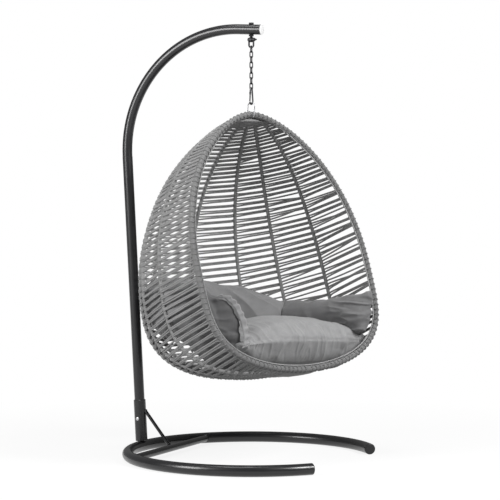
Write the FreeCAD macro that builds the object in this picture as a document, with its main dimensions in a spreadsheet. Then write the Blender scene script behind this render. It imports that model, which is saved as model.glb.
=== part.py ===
import FreeCAD, Part
import math
import os
from FreeCAD import Placement, Rotation, Vector

# A hanging egg chair: a C-shaped floor ring, a leaning mast and bent arm, a short chain with
# a shackle and a snap hook, and a basket of wound steel ribs with rope courses and cushions.
# Origin on the floor at the centre of the ring, +Z up, the mast at +Y, the ring open at -Y.

SIZES = [
    # floor ring, crossbar and plugs
    ("ring_radius", 555.0), ("ring_tube", 50.0), ("ring_gap_angle", 37.75),
    ("ring_wall", 3.0), ("plug_cap", 5.0), ("plug_depth", 22.0),
    ("bar_setback", 400.0), ("bar_tube", 32.0), ("weld_gap", 0.2),
    # mast, socket and brace
    ("mast_tube", 46.0), ("mast_wall", 2.0), ("mast_length", 1335.0), ("mast_lean", 3.05),
    ("mast_foot", 34.0), ("socket_tube", 55.0), ("socket_length", 214.0),
    ("slide_gap", 0.2), ("bolt_shank", 8.0), ("bolt_rise", 128.0), ("bolt_head", 18.0),
    ("brace_rod", 15.0), ("brace_rise", 193.0),
    # arm
    ("arm_tube", 45.0), ("arm_radius", 540.0), ("arm_droop", 2.5), ("arm_straight", 113.0),
    ("arm_overhang", 50.0), ("arm_spigot", 60.0), ("cap_depth", 15.0), ("cap_crown", 4.0),
    # hanger bolt and shackle
    ("hanger_shank", 12.0), ("hanger_flats", 19.0), ("hanger_head", 7.7), ("pin_drop", 45.0),
    ("eye_radius", 12.0), ("eye_width", 12.0), ("pin_rod", 8.0), ("pin_reach", 26.0),
    ("bow_rod", 8.0), ("bow_inside", 14.0), ("bow_length", 31.0), ("bow_ear", 17.0),
    # chain
    ("link_rod", 5.0), ("link_pitch", 23.5), ("link_inside", 8.0), ("link_play", 0.3),
    ("link_count", 8.0),
    # snap hook
    ("hook_rod", 7.0), ("hook_length", 80.0), ("hook_width", 40.0), ("hook_neck", 25.0),
    ("gate_rod", 6.0), ("gate_fork", 7.2), ("rivet_rod", 3.0), ("turn_gap", 0.1),
    # bail
    ("bail_rod", 5.0), ("bail_rise", 53.0), ("bail_half", 28.0), ("bail_arch", 20.0),
    ("bail_root", 24.0),
    # basket: the frame hangs from its top point and is turned to one side
    ("basket_turn", 23.0), ("basket_drop", 1113.0), ("pole_forward", 331.4),
    ("back_half_width", 529.0), ("back_depth", 774.4),
    ("rim_half_width", 507.8), ("rim_drop", 1106.6), ("rim_forward", 366.1),
    ("rim_rope", 33.0), ("rib_rope", 16.5), ("course_width", 11.0), ("course_depth", 6.0),
    ("course_count", 32.0), ("rope_gap", 0.61), ("wrap_share", 0.055), ("wrap_lap", 0.0015),
    ("wrap_depth", 15.0),
    # cushions
    ("seat_width", 732.0), ("seat_depth", 430.0), ("seat_crown", 96.0), ("seat_belly", 150.0),
    ("seat_aside", 47.0), ("seat_forward", 303.0), ("seat_rise", 123.8),
    ("wall_forward", 200.0), ("wall_inset", 62.0),
    ("back_height", 280.0), ("back_thickness", 165.0), ("back_rise", 383.8),
    ("back_foot_inset", 175.0),
    ("side_height", 190.0), ("side_thickness", 140.0), ("side_rise", 306.8),
    ("side_foot_inset", 125.0), ("soft_gap", 0.5),
]

# angles of the ribs round the basket, measured from straight back, the same on both sides
RIB_ANGLES = (13.23, 35.96, 52.97, 71.32)

# The basket's two half breadths swell and close again between its bottom pole (0) and its
# top point (1). Each has the share of the height where it is widest, and four exponents.
SIDE_SWELL = (0.29, 2.23, 1.84, 2.75, 3.76)
BACK_SWELL = (0.34, 2.13, 1.66, 2.11, 2.02)
RIM_SWELL = (0.38, 2.17, 1.63, 3.86, 2.0)

doc = FreeCAD.newDocument("HangingEggChair")
sheet = doc.addObject("Spreadsheet::Sheet", "Sizes")
for line, (alias, value) in enumerate(SIZES, start=1):
    sheet.set("A%d" % line, alias)
    sheet.set("B%d" % line, "%.6g" % value)
    sheet.setAlias("B%d" % line, alias)
doc.recompute()

parts = []


def size(alias):
    """A driving dimension, read back from the sheet."""
    return float(getattr(sheet, alias))


def keep(obj, label):
    """Name a finished sub-part and list it for the export."""
    obj.Label = label
    parts.append(obj)
    return obj


def bind(obj, **cells):
    """Tie properties of a primitive to cells of the sheet."""
    for name, expression in cells.items():
        obj.setExpression(name, expression)
    return obj


def add(kind, name, place=None, **cells):
    obj = bind(doc.addObject("Part::" + kind, name), **cells)
    if place is not None:
        obj.Placement = place
    return obj


def cut(name, base, *tools):
    """Base less its tools, as a boolean feature of the document."""
    tool = tools[0]
    if len(tools) > 1:
        tool = doc.addObject("Part::MultiFuse", name + "_tools")
        tool.Shapes = list(tools)
    obj = doc.addObject("Part::Cut", name + "_cut")
    obj.Base = base
    obj.Tool = tool
    return obj


def shape_part(label, shape, place=None):
    obj = doc.addObject("Part::Feature", label + "_shape")
    obj.Shape = shape
    if place is not None:
        obj.Placement = place
    return keep(obj, label)


def along(point, direction):
    """Placement with its own Z turned to a direction."""
    return Placement(point, Rotation(Vector(0, 0, 1), direction))


def circle_points(radius, sides, height=0.0):
    angles = [2 * math.pi * step / sides for step in range(sides)]
    return [Vector(radius * math.cos(a), radius * math.sin(a), height) for a in angles]


def turned(points, sides):
    """Flat-sided turned piece about Z, through (radius, height) pairs from end to end."""
    return faceted_solid([circle_points(radius, sides, height) for radius, height in points])


def dome(radius, low, high):
    """(radius, height) pairs of a shallow dome over a round cap."""
    rise = high - low
    return [(radius, low), (radius * 0.90, low + rise * 0.45), (radius * 0.55, low + rise * 0.86),
            (radius * 0.08, high)]


def round_bar(radius, height, sides, point=Vector(0, 0, 0), direction=Vector(0, 0, 1)):
    """Many-sided bar that stands for a small round one."""
    bar = turned([(radius, 0), (radius, height)], sides)
    bar.transformShape(along(point, direction).toMatrix(), True)
    return bar


def hexagon_bar(flats, height):
    """Hexagonal bar on the XY plane with the given width across its flats."""
    return round_bar(flats / 2 / math.cos(math.radians(30)), height, 6)


def faceted_solid(sections, closed=False):
    """Closed skin of flat facets through equal-sided sections, in order along a route."""
    faces = []
    count = len(sections[0])
    spans = list(zip(sections, sections[1:]))
    if closed:
        spans.append((sections[-1], sections[0]))
    for near, far in spans:
        for side in range(count):
            a, b = near[side], near[(side + 1) % count]
            c, d = far[(side + 1) % count], far[side]
            faces += quad(a, b, c, d)
    if not closed:
        faces += end_cap(sections[0]) + end_cap(sections[-1])
    solid = Part.Solid(Part.Shell(faces))
    if solid.Volume < 0:
        solid.reverse()
    return solid


def end_cap(section):
    """Flat end, or a fan of triangles where the section is out of plane."""
    middle = Vector(0, 0, 0)
    for point in section:
        middle += point * (1.0 / len(section))
    normal = (section[0] - middle).cross(section[1] - middle).normalize()
    if max(abs((point - middle).dot(normal)) for point in section) < 1e-6:
        return [Part.Face(Part.makePolygon(section + section[:1]))]
    pairs = zip(section, section[1:] + section[:1])
    return [Part.Face(Part.makePolygon([middle, a, b, middle])) for a, b in pairs]


def quad(a, b, c, d):
    """One flat face, or two triangles where the four corners are out of plane."""
    normal = (c - a).cross(d - b)
    if normal.Length < 1e-9 or abs((b - a).dot(normal.normalize())) < 1e-7:
        return [Part.Face(Part.makePolygon([a, b, c, d, a]))]
    return [Part.Face(Part.makePolygon([a, b, c, a])), Part.Face(Part.makePolygon([a, c, d, a]))]


def sections_along(route, radius, sides, outward, closed=False, start=0.0):
    """Round-ish sections square to a route; outward gives the reference side at each point."""
    result = []
    last = len(route) - 1
    for index, point in enumerate(route):
        before = route[index - 1] if index or closed else point
        after = route[(index + 1) % len(route)] if index < last or closed else point
        run = (after - before).normalize()
        side = outward(point)
        side = (side - run * side.dot(run)).normalize()
        across = run.cross(side)
        angles = [math.radians(start + 360.0 * step / sides) for step in range(sides)]
        result.append([point + side * (radius * math.cos(a)) + across * (radius * math.sin(a))
                       for a in angles])
    return result


def faceted_rod(route, rod, sides, outward, closed=False):
    sections = sections_along(route, rod / 2, sides, outward, closed, 180.0 / sides)
    return faceted_solid(sections, closed)


def arc_points(centre, radius, first, last, count):
    """Points of an arc in the XZ plane, angles in degrees from +X."""
    angles = [math.radians(first + (last - first) * k / count) for k in range(count + 1)]
    return [centre + Vector(radius * math.cos(a), 0, radius * math.sin(a)) for a in angles]


# base ring: an open round tube with a short bore in each end for its plug
ring_r = size("ring_radius")
ring_half = size("ring_tube") / 2
gap_angle = size("ring_gap_angle")
ring_steps = 56
ring_sides = 12
ring_route = []
for step in range(ring_steps + 1):
    angle = math.radians(gap_angle - 90 + (360 - 2 * gap_angle) * step / ring_steps)
    ring_route.append(Vector(ring_r * math.cos(angle), ring_r * math.sin(angle), ring_half))


def ring_tube(name, clear, first, last):
    """Stretch of the ring tube, widened by clear, with a flat side down on the floor."""
    tube = doc.addObject("Part::Feature", name)
    flats = size("ring_tube") + 2 * clear
    tube.Shape = faceted_rod(ring_route[first:last + 1], flats / math.cos(math.pi / ring_sides),
                             ring_sides, lambda p: Vector(0, 0, 1))
    return tube


ring_body = ring_tube("ring_body", 0, 0, ring_steps)
ring_ends = []
for name, point, inner in (("right", ring_route[0], ring_route[1]),
                           ("left", ring_route[-1], ring_route[-2])):
    ring_ends.append((name, point, (inner - point).normalize()))
bores = [add("Cylinder", "ring_bore_" + name, along(point - inward, inward),
             Radius="Sizes.ring_tube / 2 - Sizes.ring_wall", Height="Sizes.plug_depth + 3")
         for name, point, inward in ring_ends]
keep(cut("base_ring", ring_body, *bores), "base_ring")

# ring plugs: a domed cap on a spigot, one in each open end
spigot_r = ring_half - size("ring_wall") - size("slide_gap")
for name, point, inward in ring_ends:
    plug = turned([(spigot_r, -size("plug_depth")), (spigot_r, 0), (ring_half, 0)]
                  + dome(ring_half, 1.5, size("plug_cap")), 20)
    shape_part("ring_plug_" + name, plug, along(point, inward * -1))

# crossbar: a straight tube across the back, cut to sit on the inside of the ring
bar_half = math.sqrt(ring_r ** 2 - size("bar_setback") ** 2)
bar_place = along(Vector(-bar_half, size("bar_setback"), ring_half), Vector(1, 0, 0))
bar_body = add("Cylinder", "crossbar_body", bar_place, Radius="Sizes.bar_tube / 2",
               Height="2 * sqrt(Sizes.ring_radius ^ 2 - Sizes.bar_setback ^ 2)")
weld_gap = size("weld_gap")
bar_saddles = [ring_tube("right_saddle", weld_gap, 17, 22),
               ring_tube("left_saddle", weld_gap, 34, 39)]
keep(cut("base_crossbar", bar_body, *bar_saddles), "base_crossbar")

# mast line: from the ring's centre line, leaning back
lean = math.radians(size("mast_lean"))
mast_dir = Vector(0, math.sin(lean), math.cos(lean))
mast_root = Vector(0, ring_r, ring_half)
bolt_point = mast_root + mast_dir * size("bolt_rise")
mast_in = size("mast_tube") / 2 - size("mast_wall")


def bolt_hole(name):
    half = Vector(-size("socket_tube"), 0, 0)
    return add("Cylinder", name, along(bolt_point + half, Vector(1, 0, 0)),
               Radius="Sizes.bolt_shank / 2 + Sizes.slide_gap", Height="2 * Sizes.socket_tube")


# mast socket: a short wide tube welded on the ring, bored for the mast and its bolt
socket_body = add("Cylinder", "socket_body", along(mast_root, mast_dir),
                  Radius="Sizes.socket_tube / 2", Height="Sizes.socket_length")
socket_bore = add("Cylinder", "socket_bore", along(mast_root - mast_dir * ring_half, mast_dir),
                  Radius="Sizes.mast_tube / 2 + Sizes.slide_gap",
                  Height="Sizes.socket_length + Sizes.ring_tube")
socket_saddle = ring_tube("socket_saddle", weld_gap, 26, 30)
keep(cut("mast_socket", socket_body, socket_bore, socket_saddle,
         bolt_hole("socket_bolt_hole")), "mast_socket")

# mast tube: stands in the socket, open at both ends, with a cross hole for the bolt
foot = mast_root + mast_dir * size("mast_foot")
mast_body = add("Cylinder", "mast_body", along(foot, mast_dir),
                Radius="Sizes.mast_tube / 2", Height="Sizes.mast_length - Sizes.mast_foot")
mast_bore = add("Cylinder", "mast_bore", along(foot - mast_dir, mast_dir),
                Radius="Sizes.mast_tube / 2 - Sizes.mast_wall", Height="Sizes.mast_length")
keep(cut("mast_tube", mast_body, mast_bore, bolt_hole("mast_bolt_hole")), "mast_tube")

# brace strut: from the crossbar up to the front of the socket, shaped to both
brace_top = mast_root + mast_dir * size("brace_rise")
brace_foot = Vector(0, size("bar_setback"), ring_half)
brace_run = brace_top - brace_foot
brace_body = add("Cylinder", "brace_body", along(brace_foot, brace_run),
                 Radius="Sizes.brace_rod / 2")
brace_body.Height = brace_run.Length
brace_cuts = [
    add("Cylinder", "brace_socket_cut", along(mast_root, mast_dir),
        Radius="Sizes.socket_tube / 2 + Sizes.weld_gap", Height="Sizes.mast_length"),
    add("Cylinder", "brace_bar_cut", bar_place,
        Radius="Sizes.bar_tube / 2 + Sizes.weld_gap", Height="2 * Sizes.ring_radius"),
]
keep(cut("brace_strut", brace_body, *brace_cuts), "brace_strut")

# socket bolt and nut: a domed head on the left, a hexagon nut on the right
head_r = size("bolt_head") / 2
shank_r = size("bolt_shank") / 2
grip = size("socket_tube") / 2 + size("weld_gap")
nut_height = 0.8 * size("bolt_shank")
bolt_end = 2 * grip + nut_height + 3
bolt = turned([(shank_r, -bolt_end), (shank_r, 0), (head_r, 0)]
              + dome(head_r, 2.0, head_r * 0.62), 12)
shape_part("socket_bolt", bolt, along(bolt_point - Vector(grip, 0, 0), Vector(-1, 0, 0)))
nut = hexagon_bar(1.625 * size("bolt_shank"), nut_height)
nut = nut.cut(round_bar(shank_r + size("slide_gap"), 3 * nut_height, 12, Vector(0, 0, -1)))
shape_part("socket_nut", nut, along(bolt_point + Vector(grip, 0, 0), Vector(1, 0, 0)))

# arm: springs from the mast top, bends over on one large radius and runs on with a droop
arm_r = size("arm_radius")
arm_half = size("arm_tube") / 2
droop = math.radians(size("arm_droop"))
joint = mast_root + mast_dir * size("mast_length")
bend = joint + Vector(0, -math.cos(lean), math.sin(lean)) * arm_r
arm_out = bend + Vector(0, -math.sin(droop), math.cos(droop)) * arm_r
arm_dir = Vector(0, -math.cos(droop), -math.sin(droop))
arm_end = arm_out + arm_dir * size("arm_straight")
hang_y = arm_end.y + size("arm_overhang")
arm_z = arm_end.z + size("arm_overhang") * math.tan(droop)
hang = Vector(0, hang_y, arm_z)

arm_steps = 30
arm_sides = 16
arm_foot = joint + mast_dir * size("slide_gap")
arm_route = [arm_foot, arm_foot + mast_dir]
for step in range(1, arm_steps + 1):
    angle = (math.pi / 2 + droop + lean) * step / arm_steps - lean
    arm_route.append(bend + Vector(0, math.cos(angle), math.sin(angle)) * arm_r)
arm_route.append(arm_end)
arm = faceted_rod(arm_route, size("arm_tube"), arm_sides, lambda p: Vector(1, 0, 0))
spigot = round_bar(mast_in - size("slide_gap"), size("arm_spigot") + 5, arm_sides,
                   joint - mast_dir * size("arm_spigot"), mast_dir)
cap_r = arm_half - size("mast_wall")
cap_bore = round_bar(cap_r, size("cap_depth") + 2, arm_sides, arm_end + arm_dir, arm_dir * -1)
bolt_bore = round_bar(size("hanger_shank") / 2 + size("rope_gap"), 4 * arm_half, 12,
                      hang - Vector(0, 0, 2 * arm_half))
arm = arm.fuse(spigot).cut(cap_bore).cut(bolt_bore)
shape_part("arm_tube", arm)

# arm end cap: a shallow dome on a spigot
cap_in = cap_r - size("slide_gap")
cap = turned([(cap_in, -size("cap_depth")), (cap_in, 0), (arm_half, 0)]
             + dome(arm_half, 1.2, size("cap_crown")), arm_sides)
shape_part("arm_end_cap", cap, along(arm_end, arm_dir))

# hanger bolt: hexagon head on the arm, shank through it, and an eye under it for the pin
flats = size("hanger_flats")
arm_flat = arm_half * math.cos(math.pi / arm_sides)
seat_rise = arm_flat / math.cos(droop) + flats * 0.6 * math.tan(droop) + size("weld_gap")
hanger_r = size("hanger_shank") / 2
eye_z = -size("pin_drop")
head = hexagon_bar(flats, size("hanger_head"))
head.translate(Vector(0, 0, seat_rise))
shank = round_bar(hanger_r, seat_rise + size("pin_drop") + 1, 12, Vector(0, 0, eye_z))
eye = round_bar(size("eye_radius"), size("eye_width"), 20,
                Vector(0, -size("eye_width") / 2, eye_z), Vector(0, 1, 0))
eye_hole = Part.makeCylinder(size("pin_rod") / 2 + size("turn_gap"), 2 * size("eye_width"),
                             Vector(0, -size("eye_width"), eye_z), Vector(0, 1, 0))
hanger_bolt = head.fuse(shank).fuse(eye).cut(eye_hole)
shape_part("hanger_bolt", hanger_bolt, Placement(hang, Rotation()))

# hanger nut: tightened against the underside of the arm
hanger_nut_height = 0.65 * size("hanger_shank")
nut = hexagon_bar(flats, hanger_nut_height)
nut = nut.cut(round_bar(hanger_r + size("slide_gap"), 3 * hanger_nut_height, 12,
                        Vector(0, 0, -1)))
shape_part("hanger_nut", nut, Placement(hang - Vector(0, 0, seat_rise + hanger_nut_height),
                                        Rotation()))

# shackle pin: through the bolt's eye and both ears, with a collar and stub in front
pin_r = size("pin_rod") / 2
ear_in = size("bow_inside") / 2
ear_out = ear_in + size("bow_rod")
pin_point = hang - Vector(0, 0, size("pin_drop"))
pin = turned([(pin_r, -ear_out - 2.5), (pin_r, ear_out + 0.4), (pin_r * 1.7, ear_out + 0.4),
              (pin_r * 1.7, ear_out + 3.6), (pin_r * 0.8, ear_out + 3.6),
              (pin_r * 0.8, size("pin_reach"))], 16)
shape_part("shackle_pin", pin, along(pin_point, Vector(0, -1, 0)))

# shackle bow: two bored ears and a round rod bent in a U between them
bow_mid = ear_in + size("bow_rod") / 2
bow_bottom = size("bow_length") + size("bow_rod") / 2
turn = arc_points(Vector(0, 0, bow_mid - bow_bottom), bow_mid, 180, 360, 8)
bow_route = [Vector(-bow_mid, 0, -2)] + turn + [Vector(bow_mid, 0, -2)]
bow = faceted_rod(bow_route, size("bow_rod"), 8, lambda p: Vector(0, 1, 0))
ear_r = size("bow_ear") / 2
for sign in (-1, 1):
    ear = round_bar(ear_r, size("bow_rod"), 16,
                    Vector(ear_in if sign > 0 else -ear_out, 0, 0), Vector(1, 0, 0))
    bow = bow.fuse(ear)
bow = bow.cut(round_bar(pin_r + size("slide_gap"), 4 * ear_out, 16,
                        Vector(-2 * ear_out, 0, 0), Vector(1, 0, 0)))
shape_part("shackle_bow", bow, Placement(pin_point, Rotation(Vector(0, 0, 1), 90)))

# chain links: bent rod, each a quarter turn from the one above it
rod = size("link_rod")
inner_length = size("link_pitch") + size("link_play")
bend_r = size("link_inside") / 2 + rod / 2
leg = inner_length / 2 - size("link_inside") / 2
link_route = arc_points(Vector(0, 0, leg), bend_r, 0, 180, 6)
link_route += arc_points(Vector(0, 0, -leg), bend_r, 180, 360, 6)
link = faceted_rod(link_route, rod, 8, lambda p: Vector(0, 1, 0), True)
chain_top = pin_point.z - size("bow_length") + size("link_play")
for index in range(int(size("link_count"))):
    middle = chain_top - index * size("link_pitch") - inner_length / 2
    spin = Rotation(Vector(0, 0, 1), 90 * (index % 2))
    shape_part("chain_link_%d" % (index + 1), link.copy(),
               Placement(Vector(0, hang_y, middle), spin))
chain_bottom = chain_top - size("link_count") * size("link_pitch")

# snap hook: a pear of round rod, open at the lower left where its gate closes it
hook_r = size("hook_rod") / 2
neck_r = size("hook_neck") / 2 - hook_r
belly_r = size("hook_width") / 2 - hook_r
reach = size("hook_length") - 2 * hook_r - neck_r - belly_r
flare = math.degrees(math.asin((belly_r - neck_r) / reach))
neck = Vector(0, 0, -hook_r - neck_r)
belly = neck - Vector(0, 0, reach)
left_top = arc_points(neck, neck_r, 180 - flare, 180 - flare, 1)[0]
left_low = arc_points(belly, belly_r, 180 - flare, 180 - flare, 1)[0]
leg_dir = (left_low - left_top).normalize()
pivot = left_top + leg_dir * 14
tip = arc_points(belly, belly_r, 205, 205, 1)[0]
fork_r = size("gate_fork") / 2
leg_end = pivot - leg_dir * (fork_r + 0.6)
hook_route = arc_points(belly, belly_r, 205, 360 + flare, 8)
hook_route += arc_points(neck, neck_r, flare, 180 - flare, 7) + [leg_end]
hook = faceted_rod(hook_route, size("hook_rod"), 8, lambda p: Vector(0, 1, 0))
tab_half = 1.5
tab = round_bar(fork_r, 2 * tab_half, 12, pivot - Vector(0, tab_half, 0), Vector(0, 1, 0))
tab_run = Part.makeBox(2 * fork_r - 1, 2 * tab_half, fork_r + 3,
                       Vector(0.5 - fork_r, -tab_half, 0))
tab_run.Placement = Placement(pivot, Rotation(Vector(0, 0, 1), leg_dir * -1)) * tab_run.Placement
rivet_r = size("rivet_rod") / 2
rivet_hole = round_bar(rivet_r + size("slide_gap"), 20, 10, pivot - Vector(0, 10, 0),
                       Vector(0, 1, 0))
hook = hook.fuse(tab).fuse(tab_run).cut(rivet_hole)
hook_place = Placement(Vector(0, hang_y, chain_bottom + 2 * hook_r), Rotation())
shape_part("snap_hook", hook, hook_place)

# snap hook gate: a round bar with a fork over the hook's tab
gate_dir = (tip + Vector(0.2, 0, 3.2) - pivot).normalize()
gate_length = (tip + Vector(0.2, 0, 3.2) - pivot).Length
gate = round_bar(size("gate_rod") / 2, gate_length - fork_r - 0.6, 10,
                 pivot + gate_dir * (fork_r + 0.6), gate_dir)
cheek = 1.6
for low in (tab_half + 0.3, -tab_half - 0.3 - cheek):
    disc = round_bar(fork_r, cheek, 12, pivot + Vector(0, low, 0), Vector(0, 1, 0))
    plate = Part.makeBox(size("gate_rod") - 0.6, cheek, fork_r + 4,
                         Vector(0.3 - size("gate_rod") / 2, low, 0))
    plate.Placement = Placement(pivot, Rotation(Vector(0, 0, 1), gate_dir)) * plate.Placement
    gate = gate.fuse(disc).fuse(plate)
gate = gate.cut(rivet_hole)
shape_part("snap_hook_gate", gate, hook_place)
rivet = round_bar(rivet_r, 2 * (tab_half + 0.3 + cheek) + 0.8, 10,
                  pivot - Vector(0, tab_half + cheek + 0.7, 0), Vector(0, 1, 0))
shape_part("gate_rivet", rivet, hook_place)

# Basket frame: own axes are side (x), forward (y) and up (z), from its top point.
hook_seat = chain_bottom + 2 * hook_r - size("hook_length") + 2 * hook_r
apex = Vector(0, hang_y, hook_seat + size("link_play") - size("bail_rise"))
basket_turn = math.radians(size("basket_turn"))
forward = Vector(-math.sin(basket_turn), -math.cos(basket_turn), 0)
sideways = Vector(math.cos(basket_turn), -math.sin(basket_turn), 0)


def basket(x, y, z):
    """A point of the basket's own frame in the chair's frame."""
    return apex + sideways * x + forward * y + Vector(0, 0, z)


def swell(share, widest, up_power, up_root, down_power, down_root):
    """Breadth from 0 to 1 at a share of the height, widest where told."""
    if share >= widest:
        run = (share - widest) / (1 - widest)
        return max(0.0, 1 - run ** up_power) ** (1 / up_root)
    run = (widest - share) / widest
    return max(0.0, 1 - run ** down_power) ** (1 / down_root)


pole = Vector(0, size("pole_forward"), -size("basket_drop"))
spine = pole * -1
backward = Vector(0, spine.z, -spine.y).normalize() * -1


def shell_point(angle, share):
    """Point of the basket's skin at an angle from straight back and a share of its height."""
    local = pole + spine * share
    local += Vector(size("back_half_width") * swell(share, *SIDE_SWELL) * math.sin(angle), 0, 0)
    local += backward * (size("back_depth") * swell(share, *BACK_SWELL) * math.cos(angle))
    return basket(local.x, local.y, local.z)


def rim_point(share, side):
    width = size("rim_half_width") * swell(share, *RIM_SWELL)
    return basket(side * width, size("rim_forward") * (1 - share), -size("rim_drop") * (1 - share))


def even_points(curve, count, first=0.0, last=1.0):
    """Equal steps along a curve of share 0 to 1, from one share of its length to another."""
    fine = [curve((1 - math.cos(math.pi * (k / 400.0))) / 2) for k in range(401)]
    lengths = [0.0]
    for a, b in zip(fine, fine[1:]):
        lengths.append(lengths[-1] + (b - a).Length)
    result = []
    at = 0
    for k in range(count + 1):
        goal = lengths[-1] * (first + (last - first) * k / count)
        while at < len(fine) - 2 and lengths[at + 1] < goal:
            at += 1
        part = (goal - lengths[at]) / max(lengths[at + 1] - lengths[at], 1e-9)
        result.append(fine[at] + (fine[at + 1] - fine[at]) * part)
    return result


# a point inside the basket, for telling inside from outside all round its skin
basket_middle = basket(0, size("pole_forward") * 0.18, -size("basket_drop") * 0.6)


def from_middle(point):
    return point - basket_middle


# rim hoop: one wound hoop round the mouth
left_rim = even_points(lambda share: rim_point(share, -1), 21)
right_rim = even_points(lambda share: rim_point(share, 1), 21)
hoop_route = left_rim + right_rim[-2:0:-1]
rim = faceted_rod(hoop_route, size("rim_rope"), 10, from_middle, True)
shape_part("rim_hoop", rim)

# ribs: wound rods from the bottom wrap to the top wrap
wrap = size("wrap_share")
rib_start = wrap - size("wrap_lap")
columns = [(left_rim, 0.0, 1.0, size("rim_rope") / 2)]
for order, angle in enumerate(sorted(RIB_ANGLES + tuple(-a for a in RIB_ANGLES)), start=1):
    turn_angle = math.radians(angle)
    route = even_points(lambda share: shell_point(turn_angle, share), 19,
                        rib_start, 1 - rib_start)
    rib = faceted_rod(route, size("rib_rope"), 8, from_middle)
    shape_part("wound_rib_%d" % order, rib)
    columns.append((route, rib_start, 1 - rib_start, size("rib_rope") / 2))
columns.append((right_rim, 0.0, 1.0, size("rim_rope") / 2))


def point_and_run(column, share):
    """Place and direction on a rib or rim side, at a share of its whole length."""
    route, first, last = column[:3]
    at = (share - first) / (last - first) * (len(route) - 1)
    low = max(0, min(int(at), len(route) - 2))
    step = route[low + 1] - route[low]
    return route[low] + step * (at - low), step.normalize()


# rope courses: straight doubled ropes from rib to rib, one group for each bay
def course(bay, share):
    """One doubled rope across a bay, as a bar with its ends parallel to both ribs."""
    start, start_run = point_and_run(columns[bay], share)
    end, end_run = point_and_run(columns[bay + 1], share)
    run = (end - start).normalize()
    corners = []
    for point, rib_run, radius, sign in ((start, start_run, columns[bay][3], 1),
                                         (end, end_run, columns[bay + 1][3], -1)):
        lean_sine = run.cross(rib_run).Length
        out = from_middle(point)
        out = (out - run * out.dot(run)).normalize()
        face_out = run.cross(rib_run).normalize()
        if face_out.dot(out) < 0:
            face_out = face_out * -1
        face = point + run * (sign * (radius + size("rope_gap")) / lean_sine)
        wide = rib_run * (size("course_width") / 2 / lean_sine)
        deep = face_out * (size("course_depth") / 2)
        corners.append([face + wide + deep, face + wide - deep, face - wide - deep,
                        face - wide + deep])
    return faceted_solid(corners)


courses = int(size("course_count"))
for bay in range(len(columns) - 1):
    bars = []
    for step in range(1, courses):
        share = wrap + (1 - 2 * wrap) * step / courses
        bars.append(course(bay, share))
    shape_part("rope_bay_%d" % (bay + 1), Part.makeCompound(bars))

# hanging bail: a bent rod over the hook, one foot on the rim and one in the crown wrap
bail_r = size("bail_rod") / 2
arch_r = size("bail_arch")
arch_z = size("bail_rise") + bail_r - arch_r
arch = [Vector(0, size("bail_half") * math.cos(a), arch_z + arch_r * math.sin(a))
        for a in (math.radians(180 * k / 10) for k in range(11))]
bail_foot = size("rim_rope") / 2 + bail_r + size("weld_gap")
bail_local = ([Vector(0, bail_foot, 0), Vector(0, bail_foot, bail_foot / 2)] + arch
              + [Vector(0, -size("bail_half"), -size("bail_root"))])
bail_route = [basket(p.x, p.y, p.z) for p in bail_local]
shape_part("hanging_bail", faceted_rod(bail_route, size("bail_rod"), 8, lambda p: sideways))

# crown and base wraps: the solid knots of rope where all ribs run together, with a pocket
# for each rib, for the rim and for the bail
room = 2 * size("weld_gap")
guests = [faceted_rod(hoop_route, size("rim_rope") + room, 10, from_middle, True),
          faceted_rod(bail_route, size("bail_rod") + room, 8, lambda p: sideways)]
for route, first, last, radius in columns[1:-1]:
    guests.append(faceted_rod(route, 2 * radius + room, 8, from_middle))


def wrap_solid(end_share, room=0.0):
    """A low pad over the skin from the pole out to end_share, thickest in the middle."""
    outer = []
    for step in range(9):
        angle = math.radians(-88 + 176 * step / 8)
        outer.append(even_points(lambda share: shell_point(angle, share), 1, end_share)[0])
    centre = Vector(0, 0, 0)
    for point in outer:
        centre += point * (1.0 / len(outer))
    axis = (outer[0] - outer[4]).cross(outer[-1] - outer[0]).normalize()
    if axis.dot(from_middle(centre)) < 0:
        axis = axis * -1
    rings = []
    depth = size("wrap_depth")
    for scale, rise in ((1.0, -0.7 * depth - room), (1.0, 0.6 * depth), (0.7, 1.2 * depth + room)):
        rings.append([centre + (p - centre) * (scale + room / (p - centre).Length) + axis * rise
                      for p in outer])
    return faceted_solid(rings)


for label, end_share in (("crown_wrap", 1 - wrap), ("base_wrap", wrap)):
    pad = wrap_solid(end_share)
    for guest in guests:
        pad = pad.cut(guest)
    shape_part(label, max(pad.Solids, key=lambda solid: solid.Volume))

# Cushions: lofts through pillow-shaped sections, plump in the middle and thin at the ends.
# They are pressed against the ribs, so each is trimmed to the hollow of the basket, which
# is taken from just above the pole to half way up and runs on in front of the mouth.
hollow_low, hollow_high, hollow_steps = 0.02, 0.52, 20
mouth_room = forward * 200
hollow_sections = []
for step in range(hollow_steps + 1):
    share = hollow_low + (hollow_high - hollow_low) * step / hollow_steps
    loop = []
    for column in columns:
        point, run = point_and_run(column, share)
        out = from_middle(point)
        out = (out - run * out.dot(run)).normalize()
        loop.append(point - out * (column[3] + size("soft_gap")))
    loop.append(loop[-1] + mouth_room)
    loop.append(loop[0] + mouth_room)
    hollow_sections.append(loop)
hollow = faceted_solid(hollow_sections).cut(wrap_solid(wrap, size("soft_gap")))


def arc_from(start, centre_side, end, steps):
    """Points of an arc that leaves start square to the direction of its centre."""
    chord = end - start
    radius = chord.Length ** 2 / (2 * chord.dot(centre_side))
    centre = start + centre_side * radius
    arm_a, arm_b = start - centre, end - centre
    swing = arm_a.getAngle(arm_b)
    side = (arm_b - arm_a * (arm_b.dot(arm_a) / radius ** 2)).normalize() * radius
    angles = [swing * step / steps for step in range(steps + 1)]
    return [centre + arm_a * math.cos(a) + side * math.sin(a) for a in angles]


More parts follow.
